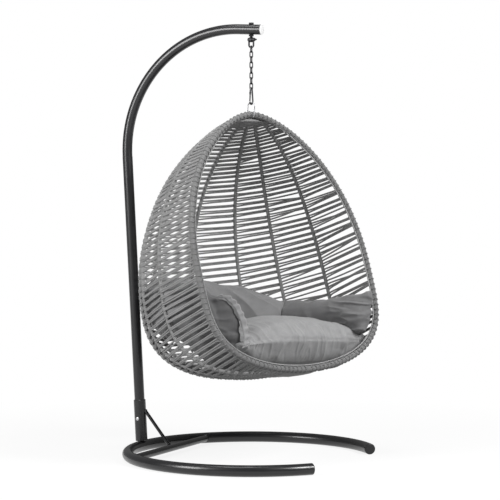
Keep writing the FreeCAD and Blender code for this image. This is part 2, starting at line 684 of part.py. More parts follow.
def pillow_side(first, last, out, bulge):
    """Three tangent arcs from seam to seam, over a crown that stands out by bulge."""
    middle = (first + last) * 0.5
    half = (last - first) * 0.5
    shoulder, drop = 0.62, 0.24 * bulge
    reach = half.Length * shoulder
    crown_radius = (reach ** 2 + drop ** 2) / (2 * drop)
    centre = middle + out * (bulge - crown_radius)
    low = middle - half * shoulder + out * (bulge - drop)
    high = middle + half * shoulder + out * (bulge - drop)
    up = arc_from(low, (centre - low).normalize(), first, 3)
    crown = arc_from(low, (centre - low).normalize(), high, 3)
    down = arc_from(high, (centre - high).normalize(), last, 3)
    return up[:0:-1] + crown[:-1] + down[:-1]


def pillow_section(first, last, out, front_bulge, back_bulge, room):
    """Both sides of a cushion at one place; room widens it for cutting its neighbours."""
    edge = (last - first).normalize() * room
    first, last = first - edge, last + edge
    return (pillow_side(first, last, out, front_bulge + room)
            + pillow_side(last, first, out * -1, back_bulge + room))


def pillow(stations, section, room=0.0):
    """Flat-sided loft through sections, closer together near the two ends."""
    shares = [math.sin(math.radians(-90 + 180.0 * k / stations)) for k in range(stations + 1)]
    return faceted_solid([section(share, room) for share in shares])


def plumpness(share, power):
    return 0.07 + 0.93 * math.sqrt(max(0.0, 1 - abs(share) ** power))


# seat cushion: lies across the bottom, its front seam just inside the rim; both long seams
# are drawn in at the middle, and it sinks a little towards the right
def seat_section(share, room):
    x = size("seat_aside") + share * size("seat_width") / 2
    y = size("seat_forward")
    drawn = 16 * (1 - share ** 2)
    seam_z = pole.z + size("seat_rise") - 18 * share - 8 * share ** 2
    front = basket(x, y - drawn, seam_z)
    rear = basket(x - 50 * max(0.0, share), y - size("seat_depth") + drawn, seam_z - 12)
    plump = plumpness(share, 3.0)
    up = (rear - front).cross(sideways).normalize()
    if up.z < 0:
        up = up * -1
    return pillow_section(front, rear, up, size("seat_crown") * plump,
                          size("seat_belly") * plump, room)


shape_part("seat_cushion", pillow(10, seat_section).common(hollow))


def wall_plan(angle):
    """Plan of the basket wall at elbow height, with its inward direction, by angle."""
    turn_angle = math.radians(angle)
    wide = size("back_half_width")
    deep = size("back_depth") * abs(backward.y)
    x = wide * math.sin(turn_angle)
    y = size("wall_forward") - deep * math.cos(turn_angle)
    inward = Vector(-math.sin(turn_angle) / wide, math.cos(turn_angle) / deep, 0).normalize()
    return x, y, inward


def wall_section(angle, top_off, top_rise, low_off, height, front_bulge, back_bulge, room):
    """Section of a cushion that leans on the wall: two seams, each set in by its own offset."""
    x, y, inward = wall_plan(angle)
    top_z = pole.z + top_rise
    top = basket(x + inward.x * top_off, y + inward.y * top_off, top_z)
    low = basket(x + inward.x * low_off, y + inward.y * low_off, top_z - height)
    inside = basket(inward.x, inward.y, 0) - apex
    out = (inside - (top - low) * (inside.dot(top - low) / (top - low).Length ** 2)).normalize()
    return pillow_section(top, low, out, front_bulge, back_bulge, room)


# back cushion: stands round the left and the back wall, its right end swung inwards
def back_section(share, room):
    angle = -16 + 75 * share
    swing = 130 * max(0.0, share - 0.35) ** 1.5
    plump = plumpness(share, 5.0)
    rise = size("back_rise") - 14 * share - 70 * max(0.0, share) ** 3
    height = size("back_height") - 30 * share ** 4
    half = size("back_thickness") / 2 * plump
    return wall_section(angle, size("wall_inset") + swing, rise, size("back_foot_inset") + swing,
                        height, half * 1.2, half * (0.95 - 0.5 * min(0.0, share)), room)


back = pillow(14, back_section).cut(pillow(10, seat_section, size("soft_gap")))
shape_part("back_cushion", back.common(hollow))


# side cushion: stands along the right wall, behind the end of the back cushion
def side_section(share, room):
    angle = 69.5 + 23.5 * share
    plump = plumpness(share, 4.0)
    rise = size("side_rise") + 14 * share ** 3 - 14 * (1 - share ** 2)
    half = size("side_thickness") / 2 * plump
    return wall_section(angle, size("wall_inset"), rise, size("side_foot_inset"),
                        size("side_height"), half, half * 1.4, room)


side = pillow(10, side_section).cut(pillow(10, seat_section, size("soft_gap")))
side = side.cut(pillow(14, back_section, size("soft_gap")))
shape_part("side_cushion", side.common(hollow))

doc.recompute()
for obj in doc.Objects:
    if "Invalid" in obj.State or "Error" in obj.State:
        raise RuntimeError("%s did not build" % obj.Label)
for obj in parts:
    if obj.Shape.isNull() or not obj.Shape.isValid() or obj.Shape.Volume <= 0:
        raise RuntimeError("%s has no sound shape" % obj.Label)

os.makedirs("parts", exist_ok=True)
for obj in parts:
    obj.Shape.exportStep("parts/%s.step" % obj.Label)
print("%d parts written" % len(parts))
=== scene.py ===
import bpy
import math
from mathutils import Matrix, Vector, noise


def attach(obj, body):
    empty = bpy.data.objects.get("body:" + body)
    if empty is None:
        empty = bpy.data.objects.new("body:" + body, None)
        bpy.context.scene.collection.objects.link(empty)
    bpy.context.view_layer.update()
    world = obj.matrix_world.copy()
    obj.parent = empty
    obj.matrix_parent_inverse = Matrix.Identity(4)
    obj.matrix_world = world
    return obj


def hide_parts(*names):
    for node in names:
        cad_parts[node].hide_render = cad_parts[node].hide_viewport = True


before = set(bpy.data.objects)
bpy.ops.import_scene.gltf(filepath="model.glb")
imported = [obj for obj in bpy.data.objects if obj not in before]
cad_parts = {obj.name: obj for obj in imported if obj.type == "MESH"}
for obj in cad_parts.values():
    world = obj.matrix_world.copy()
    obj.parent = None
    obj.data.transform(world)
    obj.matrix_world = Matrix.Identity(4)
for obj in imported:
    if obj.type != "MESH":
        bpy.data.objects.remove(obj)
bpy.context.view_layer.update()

# Camera: stands nine metres off at the chair's left front, as high as the upper half of the
# basket, and looks through a long lens along the line that the photograph was taken on.
CAMERA_SPOT = (-8.5047, -3.8950, 1.3418)
CAMERA_SIGHT = Vector((0.90808, 0.41658, -0.04305))


def placed(name, data):
    """New object that holds the data, linked to the scene."""
    piece = bpy.data.objects.new(name, data)
    bpy.context.collection.objects.link(piece)
    return piece


def aimed(name, data, spot, sight):
    """Camera or lamp on a spot, turned along a line of sight."""
    piece = placed(name, data)
    piece.location = spot
    piece.rotation_euler = sight.to_track_quat("-Z", "Y").to_euler()
    return piece


view_data = bpy.data.cameras.new("photo_camera")
view_data.sensor_width = 36
view_data.lens = 150.4
view_data.clip_end = 100
bpy.context.scene.camera = aimed("photo_camera", view_data, CAMERA_SPOT, CAMERA_SIGHT)
bpy.context.scene.view_settings.view_transform = "Standard"

# Floor: one white sheet that the chair stands on, lit plainly. It keeps only a faint shadow
# of the chair, and shows as clean white to the camera and in what shines.
FLOOR_SIDE, FLOOR_DROP = 24, 0.0008
PAPER_SEEN, PAPER_AS_LIGHT = 0.9, 0.36
GLOW_UNDER_CHAIR = 0.86


class Wire:
    """A socket of a web of nodes, so that sums on its numbers read as plain arithmetic."""

    def __init__(self, web, socket):
        self.web = web
        self.socket = socket

    def joined(self, operation, first, second=0.0):
        return self.web.add("ShaderNodeMath", {"operation": operation}, [first, second])

    def __add__(self, other):
        return self.joined("ADD", self, other)

    __radd__ = __add__

    def __sub__(self, other):
        return self.joined("SUBTRACT", self, other)

    def __rsub__(self, other):
        return self.joined("SUBTRACT", other, self)

    def __mul__(self, other):
        return self.joined("MULTIPLY", self, other)

    __rmul__ = __mul__

    def __truediv__(self, other):
        return self.joined("DIVIDE", self, other)

    def sine(self):
        return self.joined("SINE", self)

    def size(self):
        return self.joined("ABSOLUTE", self)

    def above(self, other):
        return self.joined("MAXIMUM", self, other)


class Web:
    """Nodes of a material or a world, which are added and joined by one call each."""

    def __init__(self, holder):
        holder.use_nodes = True
        self.tree = holder.node_tree

    def add(self, kind, settings, inputs, output=0):
        """New node with its settings and inputs; gives back the wire of one output."""
        node = self.tree.nodes.new(kind)
        for name, value in settings.items():
            if name == "stops":
                for position, colour in value:
                    stop = (node.color_ramp.elements[0] if position == value[0][0]
                            else node.color_ramp.elements.new(position))
                    stop.position, stop.color = position, (colour, colour, colour, 1)
                node.color_ramp.elements.remove(node.color_ramp.elements[-1])
            else:
                setattr(node, name, value)
        pairs = inputs.items() if isinstance(inputs, dict) else enumerate(inputs)
        for key, value in pairs:
            self.feed(node.inputs[key], value)
        return Wire(self, node.outputs[output])

    def feed(self, socket, value):
        if isinstance(value, Wire):
            self.tree.links.new(value.socket, socket)
        else:
            socket.default_value = value

    def rays(self, *kinds):
        """Wires that are 1 for a ray of their kind, else 0."""
        path = self.tree.nodes.new("ShaderNodeLightPath")
        return [Wire(self, path.outputs["Is %s Ray" % kind]) for kind in kinds]


class Finish(Web):
    """A material under way, with the name of a slot that is kept but not used."""

    def __init__(self, name, slot=None, **plain):
        self.material = bpy.data.materials.new(name)
        super().__init__(self.material)
        self.slot = slot
        self.shader = self.tree.nodes["Principled BSDF"]
        self.give(**plain)

    def give(self, **sockets):
        """Feeds sockets of the main shader, named with _ for a space."""
        for name, value in sockets.items():
            self.feed(self.shader.inputs[name.replace("_", " ")], value)

    def place(self, which="Object"):
        return self.add("ShaderNodeTexCoord", {}, {}, which)

    def speckle(self, scale, detail):
        return self.add("ShaderNodeTexNoise", {},
                        {"Vector": self.place(), "Scale": scale, "Detail": detail}, "Fac")

    def ramp(self, value, stops):
        return self.add("ShaderNodeValToRGB", {"stops": stops}, [value])

    def shade(self, value, dark, light):
        """Colour that runs from dark to light with a value of 0 to 1."""
        return self.add("ShaderNodeMix", {"data_type": "RGBA"},
                        {0: value, 6: (*dark, 1), 7: (*light, 1)}, 2)

    def relief(self, height, distance, strength, under=None):
        inputs = {"Height": height, "Distance": distance, "Strength": strength}
        if under:
            inputs["Normal"] = under
        return self.add("ShaderNodeBump", {}, inputs)


def grey(level):
    return (level, level, level)


bpy.ops.mesh.primitive_plane_add(size=FLOOR_SIDE, location=(0, 0, -FLOOR_DROP))
studio_floor = bpy.context.object
studio_floor.name = "studio_floor"
paper = Finish("white_paper", Roughness=0.9)
to_camera, to_shine, to_glass = paper.rays("Camera", "Glossy", "Transmission")
paper.give(Base_Color=paper.shade(to_camera, grey(PAPER_AS_LIGHT), grey(PAPER_SEEN)))
seen = to_camera.above(to_shine).above(to_glass)
glow = paper.add("ShaderNodeEmission", {}, {"Color": (1, 1, 1, 1), "Strength": 1.0})
lit = Wire(paper, paper.shader.outputs[0])
distance = paper.add("ShaderNodeVectorMath", {"operation": "LENGTH"}, [paper.place()], 1)
away = paper.ramp(distance / (FLOOR_SIDE / 2), [(0.0, 0.0), (0.09, 0.0), (0.20, 1.0)])
whiteness = seen * (GLOW_UNDER_CHAIR + away * (1 - GLOW_UNDER_CHAIR))
sheet_look = paper.add("ShaderNodeMixShader", {}, [whiteness, lit, glow])
paper.tree.links.new(sheet_look.socket, paper.tree.nodes["Material Output"].inputs["Surface"])
studio_floor.data.materials.append(paper.material)

# Backdrop: white all round. It is at full strength where the camera looks past the chair and
# dim as a source of light, so that the lamps give tubes and ropes a light and a dark side.
BACKDROP_AS_LIGHT = 0.21
studio = bpy.data.worlds.new("studio")
bpy.context.scene.world = studio
sky = Web(studio)
backdrop = sky.tree.nodes["Background"].inputs
sky.feed(backdrop["Color"], (1, 1, 1, 1))
to_camera, to_glass = sky.rays("Camera", "Transmission")
sky.feed(backdrop["Strength"],
         to_camera.above(to_glass) * (1 - BACKDROP_AS_LIGHT) + BACKDROP_AS_LIGHT)

# Lamps: three large soft panels, the main one high in front, one at the left and a weak one
# overhead, each turned to a point of the chair's middle line.
for name, spot, height, wide, high, watts in (
        ("front_panel", (-0.9, -4.3, 3.9), 0.7, 1.6, 1.6, 270),
        ("left_panel", (-4.0, 2.6, 2.6), 0.9, 2.0, 2.4, 200),
        ("top_panel", (-0.6, 0.4, 4.8), 0.6, 1.6, 1.6, 60)):
    panel = bpy.data.lights.new(name, "AREA")
    panel.shape = "RECTANGLE"
    panel.size, panel.size_y, panel.energy = wide, high, watts
    aimed(name, panel, spot, Vector((0, 0, height)) - Vector(spot))

# Base ring: one round steel tube rolled to an open circle, powder coated gloss black. The
# coat is a little uneven, with fine dust and a few rubbed spots.
RING_RADIUS, RING_TUBE, RING_WALL = 0.555, 0.050, 0.003
RING_GAP = 37.75  # degrees of the circle left open on each side of the front
TUBE_SIDES = 40
SMOOTH, SHARP = 180, 30  # shading angles of a piece without sharp edges, and of a cut tube
paint = Finish("black_gloss_paint", "black_paint", Metallic=0.0, Specular_IOR_Level=0.5,
               Coat_Weight=0.22, Coat_Roughness=0.12)
cloudy = paint.speckle(9, 4)
dust = paint.ramp(paint.speckle(260, 2), [(0.0, 0.0), (0.66, 0.0), (0.80, 1.0)])
paint.give(Base_Color=paint.shade(cloudy * 0.5 + dust * 0.18, (0.006, 0.006, 0.007),
                                  (0.030, 0.030, 0.032)),
           Roughness=0.27 + cloudy * 0.10 + dust * 0.2)
paint.give(Normal=paint.relief(paint.speckle(420, 2), 0.0004, 0.10))


def loosen():
    """Lets go of everything, so that an operator acts only on the next piece."""
    if bpy.context.object and bpy.context.object.mode != "OBJECT":
        bpy.ops.object.mode_set(mode="OBJECT")
    bpy.ops.object.select_all(action="DESELECT")


def alone(piece):
    """Makes a piece the only one that an operator acts on."""
    loosen()
    bpy.context.view_layer.objects.active = piece
    piece.select_set(True)


def edit_all():
    bpy.ops.object.mode_set(mode="EDIT")
    bpy.ops.mesh.select_all(action="SELECT")


def face_outwards():
    """Ends the edit of a piece: turns all its faces outwards."""
    bpy.ops.mesh.select_all(action="SELECT")
    bpy.ops.mesh.normals_make_consistent(inside=False)
    bpy.ops.object.mode_set(mode="OBJECT")


def give_wall(piece, thickness, offset=-1):
    wall = piece.modifiers.new("wall", "SOLIDIFY")
    wall.thickness, wall.offset = thickness, offset


def apply_modifiers(piece):
    for modifier in list(piece.modifiers):
        bpy.ops.object.modifier_apply(modifier=modifier.name)


def settle(piece, name, finish, body, nodes=(), smooth=SMOOTH):
    """Freezes a finished piece in place, gives it its finish, and lets it ride on its body."""
    alone(piece)
    if piece.type == "CURVE":
        bpy.ops.object.convert(target="MESH")
    apply_modifiers(piece)
    bpy.ops.object.transform_apply(location=True, rotation=True, scale=True)
    if smooth == SMOOTH:
        bpy.ops.object.shade_smooth()
    else:
        bpy.ops.object.shade_smooth_by_angle(angle=math.radians(smooth))
    piece.name = piece.data.name = name
    material, slot = finish.material, finish.slot
    piece.data.materials.clear()
    piece.data.materials.append(material)
    if nodes:
        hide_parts(*nodes)
    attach(piece, body)


loosen()
start = math.radians(RING_GAP - 90)
bpy.ops.mesh.primitive_circle_add(
    vertices=TUBE_SIDES, radius=RING_TUBE / 2, fill_type="NOTHING",
    location=(RING_RADIUS * math.cos(start), RING_RADIUS * math.sin(start), RING_TUBE / 2),
    rotation=(math.pi / 2, 0, start))
ring = bpy.context.object
bpy.ops.object.transform_apply(location=True, rotation=True, scale=True)
edit_all()
bpy.ops.mesh.spin(steps=160, angle=math.radians(360 - 2 * RING_GAP), center=(0, 0, 0),
                  axis=(0, 0, -1))
face_outwards()
give_wall(ring, RING_WALL)
settle(ring, "base_ring_tube", paint, "stand", ["base_ring"], SHARP)

# Ring plugs: moulded black plastic caps pushed into the two open ends of the ring. Each has
# a shank that grips the bore, a thin step and a low dome as wide as the tube.
PLUG_SHANK, PLUG_DEPTH, PLUG_STEP, PLUG_DOME = 0.0218, 0.022, 0.0015, 0.005
DOME_STEPS = 7
moulded = Finish("black_moulded_plastic", "black_plastic", Roughness=0.42, Specular_IOR_Level=0.4)
grain = moulded.speckle(900, 3)
moulded.give(Base_Color=moulded.shade(grain, (0.012, 0.012, 0.013), (0.030, 0.030, 0.031)),
             Roughness=0.36 + grain * 0.18, Normal=moulded.relief(grain, 0.0003, 0.25))


def mesh_piece(name, verts, edges, faces):
    """New object with a mesh of its own."""
    data = bpy.data.meshes.new(name)
    data.from_pydata(verts, edges, faces)
    return placed(name, data)


def stood(piece, foot, direction):
    """Stands a piece that was made round the Z axis on a foot point, along a line."""
    turn = Vector((0, 0, 1)).rotation_difference(Vector(direction))
    piece.matrix_world = Matrix.Translation(foot) @ turn.to_matrix().to_4x4()
    bpy.context.view_layer.update()
    return piece


def turned(name, profile, closed, foot, direction, steps):
    """Round piece: (radius, height) pairs turned about a line, as a closed loop for a tube."""
    if not closed:
        profile = [(0, profile[0][1])] + profile + [(0, profile[-1][1])]
    count = len(profile)
    edges = [(k, (k + 1) % count) for k in range(count if closed else count - 1)]
    piece = mesh_piece(name, [(r, 0, z) for r, z in profile], edges, [])
    alone(piece)
    edit_all()
    bpy.ops.mesh.spin(steps=steps, angle=math.tau, center=(0, 0, 0), axis=(0, 0, 1))
    bpy.ops.mesh.select_all(action="SELECT")
    bpy.ops.mesh.remove_doubles(threshold=0.00001)
    face_outwards()
    return stood(piece, foot, direction)


def end_cap(name, shank, depth, radius, step, rise, foot, direction):
    """Moulded cap with its shank in the bore and a dome with a rounded shoulder outside."""
    profile = [(shank, -depth), (shank, 0.0), (radius, 0.0)]
    for k in range(DOME_STEPS + 1):
        t = math.radians(90 * k / DOME_STEPS)
        profile.append((radius * math.cos(t) ** 0.75 if k < DOME_STEPS else 0.0004,
                        step + (rise - step) * math.sin(t)))
    return turned(name, profile, False, foot, direction, 40)


for side, sign in (("right", 1), ("left", -1)):
    angle = math.radians(-90 + sign * RING_GAP)
    end = Vector((RING_RADIUS * math.cos(angle), RING_RADIUS * math.sin(angle), RING_TUBE / 2))
    plug_out = Vector((math.sin(angle) * sign, -math.cos(angle) * sign, 0))
    plug = end_cap("plug", PLUG_SHANK, PLUG_DEPTH, RING_TUBE / 2, PLUG_STEP, PLUG_DOME, end,
                   plug_out)
    settle(plug, "ring_plug_cap_" + side, moulded, "stand", ["ring_plug_" + side], 35)

# Crossbar, socket, mast and brace: plain tubes of the same painted steel, cut to fit. The
# crossbar and the socket are welded to the ring, and the mast is slid into the socket.
LEAN = math.radians(3.05)
BAR, SOCKET = (0.016, 0.014, 0.0012), (0.0275, 0.0233, 0.0016)  # outside, bore and lip
MAST, BRACE = (0.023, 0.021, 0.0012), (0.0075, 0.0060, 0.0006)
BAR_SETBACK = 0.400
BAR_END = RING_RADIUS - 0.0235  # the bar is cut where it meets the ring's inner side
MAST_LENGTH, MAST_FOOT = 1.335, 0.034
SOCKET_FOOT, SOCKET_TOP = 0.0242, 0.214
BRACE_HEIGHT, BRACE_STANDOFF = 0.193, 0.0265
mast_line = Vector((0, math.sin(LEAN), math.cos(LEAN)))
mast_root = Vector((0, RING_RADIUS, RING_TUBE / 2))
mast_top = mast_root + mast_line * MAST_LENGTH
bar_reach = math.sqrt(BAR_END ** 2 - BAR_SETBACK ** 2)
brace_foot = Vector((0, BAR_SETBACK + 0.0130, RING_TUBE / 2 + 0.0102))
brace_top = mast_root + mast_line * BRACE_HEIGHT - Vector((0, BRACE_STANDOFF, BRACE_STANDOFF))


def straight_tube(name, foot, top, outside, inside, lip):
    """Length of tube with rounded lips at both cut ends."""
    run = Vector(top) - Vector(foot)
    length = run.length
    profile = [(inside, lip), (inside + lip * 0.4, 0), (outside - lip, 0), (outside, lip),
               (outside, length / 3), (outside, length * 2 / 3),
               (outside, length - lip), (outside - lip, length),
               (inside + lip * 0.4, length), (inside, length - lip)]
    return turned(name, profile, True, foot, run.normalized(), 48)


for name, node, foot, top, sizes in (
        ("crossbar_tube", "base_crossbar", (-bar_reach, BAR_SETBACK, RING_TUBE / 2),
         (bar_reach, BAR_SETBACK, RING_TUBE / 2), BAR),
        ("mast_socket_tube", "mast_socket", mast_root + mast_line * SOCKET_FOOT,
         mast_root + mast_line * SOCKET_TOP, SOCKET),
        ("mast_pole", "mast_tube", mast_root + mast_line * MAST_FOOT, mast_top, MAST),
        ("brace_rod", "brace_strut", brace_foot, brace_top, BRACE)):
    settle(straight_tube(name, foot, top, *sizes), name, paint, "stand", [node], SHARP)

# Weld beads: one where each end of the crossbar meets the ring and one at each end of the
# brace, laid by hand, with the small ripples that a torch leaves, and painted over.
BEAD = 0.0026
BAR_WELD, BRACE_WELD = 0.0158, 0.0072


def weld_bead(name, centre, direction, radius):
    """Rippled ring of weld round a rod that runs in the direction."""
    loosen()
    bpy.ops.mesh.primitive_torus_add(major_radius=radius, minor_radius=BEAD,
                                     major_segments=96, minor_segments=10)
    piece = bpy.context.object
    for vertex in piece.data.vertices:
        round_it = math.atan2(vertex.co.y, vertex.co.x)
        swell = 1 + 0.06 * math.sin(round_it * 42) + 0.05 * noise.noise(vertex.co * 90)
        axis_point = Vector((math.cos(round_it), math.sin(round_it), 0)) * radius
        vertex.co = axis_point + (vertex.co - axis_point) * swell
    settle(stood(piece, centre, direction), name, paint, "stand")


for label, sign in (("left", -1), ("right", 1)):
    weld_bead("crossbar_weld_" + label, (sign * (bar_reach + 0.004), BAR_SETBACK, RING_TUBE / 2),
              (1, 0, 0), BAR_WELD)
brace_run = brace_top - brace_foot
weld_bead("brace_foot_weld", brace_foot + Vector((0, 0.003, 0.005)), brace_run, BRACE_WELD)
weld_bead("brace_top_weld", brace_top - brace_run.normalized() * 0.004, brace_run, BRACE_WELD)

# Socket bolt and nut: zinc plated steel, a little dulled. They run through the socket and
# the foot of the mast and hold the two together. Their shapes are the CAD's own.
zinc = Finish("bright_zinc", "bolt_steel", Metallic=1.0, Specular_IOR_Level=0.5)
blotch = zinc.speckle(140, 3)
scratch = zinc.speckle(2200, 2)
zinc.give(Base_Color=zinc.shade(blotch, (0.42, 0.42, 0.43), (0.72, 0.72, 0.74)),
          Roughness=0.24 + blotch * 0.16 + scratch * 0.08,
          Normal=zinc.relief(scratch, 0.0002, 0.15))


def plate(finish, *nodes):
    """Gives CAD nodes that stay in view their finish."""
    for node in nodes:
        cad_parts[node].data.materials.clear()
        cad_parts[node].data.materials.append(finish.material)


plate(zinc, "socket_bolt", "socket_nut")

# Arm: a tube of the same painted steel, rolled over on one large radius, with a straight end
# that droops a little and a spigot down inside the mast.
ARM_RADIUS, ARM_TUBE, ARM_WALL, ARM_END = 0.540, 0.045, 0.002, 0.113
DROOP = math.radians(2.5)
SPIGOT, SPIGOT_DOWN, SPIGOT_UP = (0.0206, 0.0186, 0.0012), 0.06, 0.02
bend_centre = mast_top + Vector((0, -math.cos(LEAN), math.sin(LEAN))) * ARM_RADIUS
arm_run = Vector((0, -math.cos(DROOP), -math.sin(DROOP)))
loosen()
bpy.ops.mesh.primitive_circle_add(vertices=TUBE_SIDES, radius=ARM_TUBE / 2, fill_type="NOTHING")
arm = bpy.context.object
arm.rotation_euler = Vector((0, 0, 1)).rotation_difference(mast_line).to_euler()
arm.location = mast_top + mast_line * 0.0003
bpy.ops.object.transform_apply(location=True, rotation=True, scale=True)
edit_all()
bpy.ops.mesh.spin(steps=72, angle=math.pi / 2 + DROOP + LEAN, center=bend_centre,
                  axis=(-1, 0, 0))
bpy.ops.mesh.extrude_region_move(TRANSFORM_OT_translate={"value": arm_run * ARM_END})
face_outwards()
give_wall(arm, ARM_WALL)
settle(arm, "arm_bend", paint, "stand", ["arm_tube"], SHARP)
spigot = straight_tube("spigot", mast_top - mast_line * SPIGOT_DOWN,
                       mast_top + mast_line * SPIGOT_UP, *SPIGOT)
settle(spigot, "arm_spigot", paint, "stand", (), SHARP)

# Arm cap: a pale moulded plastic disc pushed into the open end of the arm, the same kind of
# plug as in the ring, with a thin step and a low dome.
CAP_SHANK, CAP_DEPTH, CAP_STEP, CAP_DOME = 0.0203, 0.015, 0.0012, 0.004
pale = Finish("pale_moulded_cap", "pale_cap", Roughness=0.22, Specular_IOR_Level=0.5)
haze = pale.speckle(60, 3)
pale.give(Base_Color=pale.shade(haze, grey(0.72), grey(0.86)),
          Roughness=0.18 + haze * 0.12, Normal=pale.relief(pale.speckle(700, 2), 0.0002, 0.1))
bend_end = bend_centre + Vector((0, -math.sin(DROOP), math.cos(DROOP))) * ARM_RADIUS
cap = end_cap("cap", CAP_SHANK, CAP_DEPTH, ARM_TUBE / 2, CAP_STEP, CAP_DOME,
              bend_end + arm_run * ARM_END, arm_run)
settle(cap, "arm_end_disc", pale, "stand", ["arm_end_cap"], 35)

# Shackle: a bow and two ears bent and forged from round bar, closed by a pin through the
# hanger's eye. The steel of all hardware is dull, grimy in its hollows and rubbed in spots.
HANG_Y, PIN_Z = 0.0003023, 1.878579
BOW_BAR, BOW_BEND, BOW_LENGTH, BOW_INSIDE = 0.0039, 0.011, 0.035, 0.031
EAR, EAR_INNER, EAR_OUTER = (0.0085, 0.0041, 0.0009), 0.0071, 0.0149
dull = Finish("dull_chain_steel", "chain_steel", Metallic=1.0)
grime = dull.speckle(180, 4)
rubbed = dull.ramp(dull.speckle(75, 2), [(0.0, 0.0), (0.55, 0.0), (0.75, 1.0)])
dull.give(Base_Color=dull.shade(grime * 0.8 + rubbed * 0.3, (0.012, 0.012, 0.013),
                                (0.13, 0.13, 0.135)),
          Roughness=0.46 - rubbed * 0.16 + grime * 0.12,
          Normal=dull.relief(grime, 0.0004, 0.3))
plate(dull, "hanger_bolt", "hanger_nut", "shackle_pin")


def bent_rod(name, points, radius, closed=False, resolution=5):
    """Round bar bent along smooth points."""
    route = bpy.data.curves.new(name, "CURVE")
    route.dimensions = "3D"
    route.bevel_depth, route.bevel_resolution = radius, resolution
    route.use_fill_caps = not closed
    run = route.splines.new("POLY")
    run.points.add(len(points) - 1)
    for spot, point in zip(run.points, points):
        spot.co = (*point, 1)
    run.use_cyclic_u = closed
    return placed(name, route)


def on_circle(centre, radius, degrees, flat=0.0):
    """Point of a circle; flat 0 lies in the XZ plane, 90 in the YZ plane."""
    across = Vector((math.cos(math.radians(flat)), math.sin(math.radians(flat)), 0))
    a = math.radians(degrees)
    return centre + across * (radius * math.cos(a)) + Vector((0, 0, radius * math.sin(a)))


def arc(centre, radius, first, last, steps, flat=0.0):
    return [on_circle(centre, radius, first + (last - first) * k / steps, flat)
            for k in range(steps + 1)]


bow_low = Vector((0, HANG_Y, PIN_Z - BOW_LENGTH + BOW_BEND))
bow_points = [Vector((0, HANG_Y - BOW_BEND, PIN_Z - 0.002))]
bow_points += arc(bow_low, BOW_BEND, 180, 360, 24, 90)
bow_points += [Vector((0, HANG_Y + BOW_BEND, PIN_Z - 0.002))]
settle(bent_rod("bow", bow_points, BOW_BAR, False, 6), "shackle_bar", dull, "shackle", (), 40)
for label, sign in (("front", -1), ("back", 1)):
    near, far = sorted((sign * EAR_INNER, sign * EAR_OUTER))
    ear = straight_tube("ear", (0, HANG_Y + near, PIN_Z), (0, HANG_Y + far, PIN_Z), *EAR)
    settle(ear, "shackle_ear_" + label, dull, "shackle", ["shackle_bow"], 40)

# Chain: eight welded links of round wire, each turned a quarter to the last. The first hangs
# in the bow of the shackle, and the eighth, which tilts by itself, holds the hook.
LINKS, PITCH, LINK_PLAY = 8, 0.0235, 0.0003
LINK_WIRE, LINK_BEND, LINK_LEG, LINK_MIDDLE = 0.0025, 0.0065, 0.0079, 0.0119
CHAIN_TOP = PIN_Z - BOW_INSIDE + LINK_PLAY
for index in range(LINKS):
    middle = Vector((0, HANG_Y, CHAIN_TOP - index * PITCH - LINK_MIDDLE))
    flat = 90 * (index % 2)
    points = arc(middle + Vector((0, 0, LINK_LEG)), LINK_BEND, 0, 180, 16, flat)
    points += arc(middle - Vector((0, 0, LINK_LEG)), LINK_BEND, 180, 360, 16, flat)
    settle(bent_rod("link", points, LINK_WIRE, True), "link_%d" % (index + 1), dull,
           "last_link" if index == LINKS - 1 else "chain", ["chain_link_%d" % (index + 1)])

# Snap hook: a pear of round bar, narrow at its neck and wide at its belly. A sprung gate on
# a rivet closes it on the tip of the bar.
HOOK_LENGTH, HOOK_BAR, NECK, BELLY = 0.080, 0.007, 0.009, 0.0165
HOOK_SKIN, TIP_ANGLE, RIVET_DOWN = 0.0034, 205, 0.014
GATE_SIDE = [(0.0028, 0.004), (0.0030, 0.0052), (0.0030, 0.0335), (0.0026, 0.0352)]
HOOK_TOP = CHAIN_TOP - LINKS * PITCH + HOOK_BAR
reach = HOOK_LENGTH - HOOK_BAR - NECK - BELLY
flare = math.degrees(math.asin((BELLY - NECK) / reach))
neck = Vector((0, HANG_Y, HOOK_TOP - HOOK_BAR / 2 - NECK))
belly = neck - Vector((0, 0, reach))
left_top = on_circle(neck, NECK, 180 - flare)
left_low = on_circle(belly, BELLY, 180 - flare)
leg = (left_low - left_top).normalized()
rivet_at = left_top + leg * RIVET_DOWN
hook_points = arc(belly, BELLY, TIP_ANGLE, 360 + flare, 28)
hook_points += arc(neck, NECK, flare, 180 - flare, 24) + [rivet_at - leg * HOOK_BAR / 2]
settle(bent_rod("hook", hook_points, HOOK_SKIN, False, 6), "snap_hook_bar", dull, "hook", (),
       40)
tip = on_circle(belly, BELLY, TIP_ANGLE) + Vector((0.0002, 0, 0.0032))
gate_bar = turned("gate", GATE_SIDE, False, rivet_at, (tip - rivet_at).normalized(), 24)
settle(gate_bar, "gate_bar", dull, "gate", (), 40)
plate(dull, "snap_hook", "gate_rivet", "snap_hook_gate")

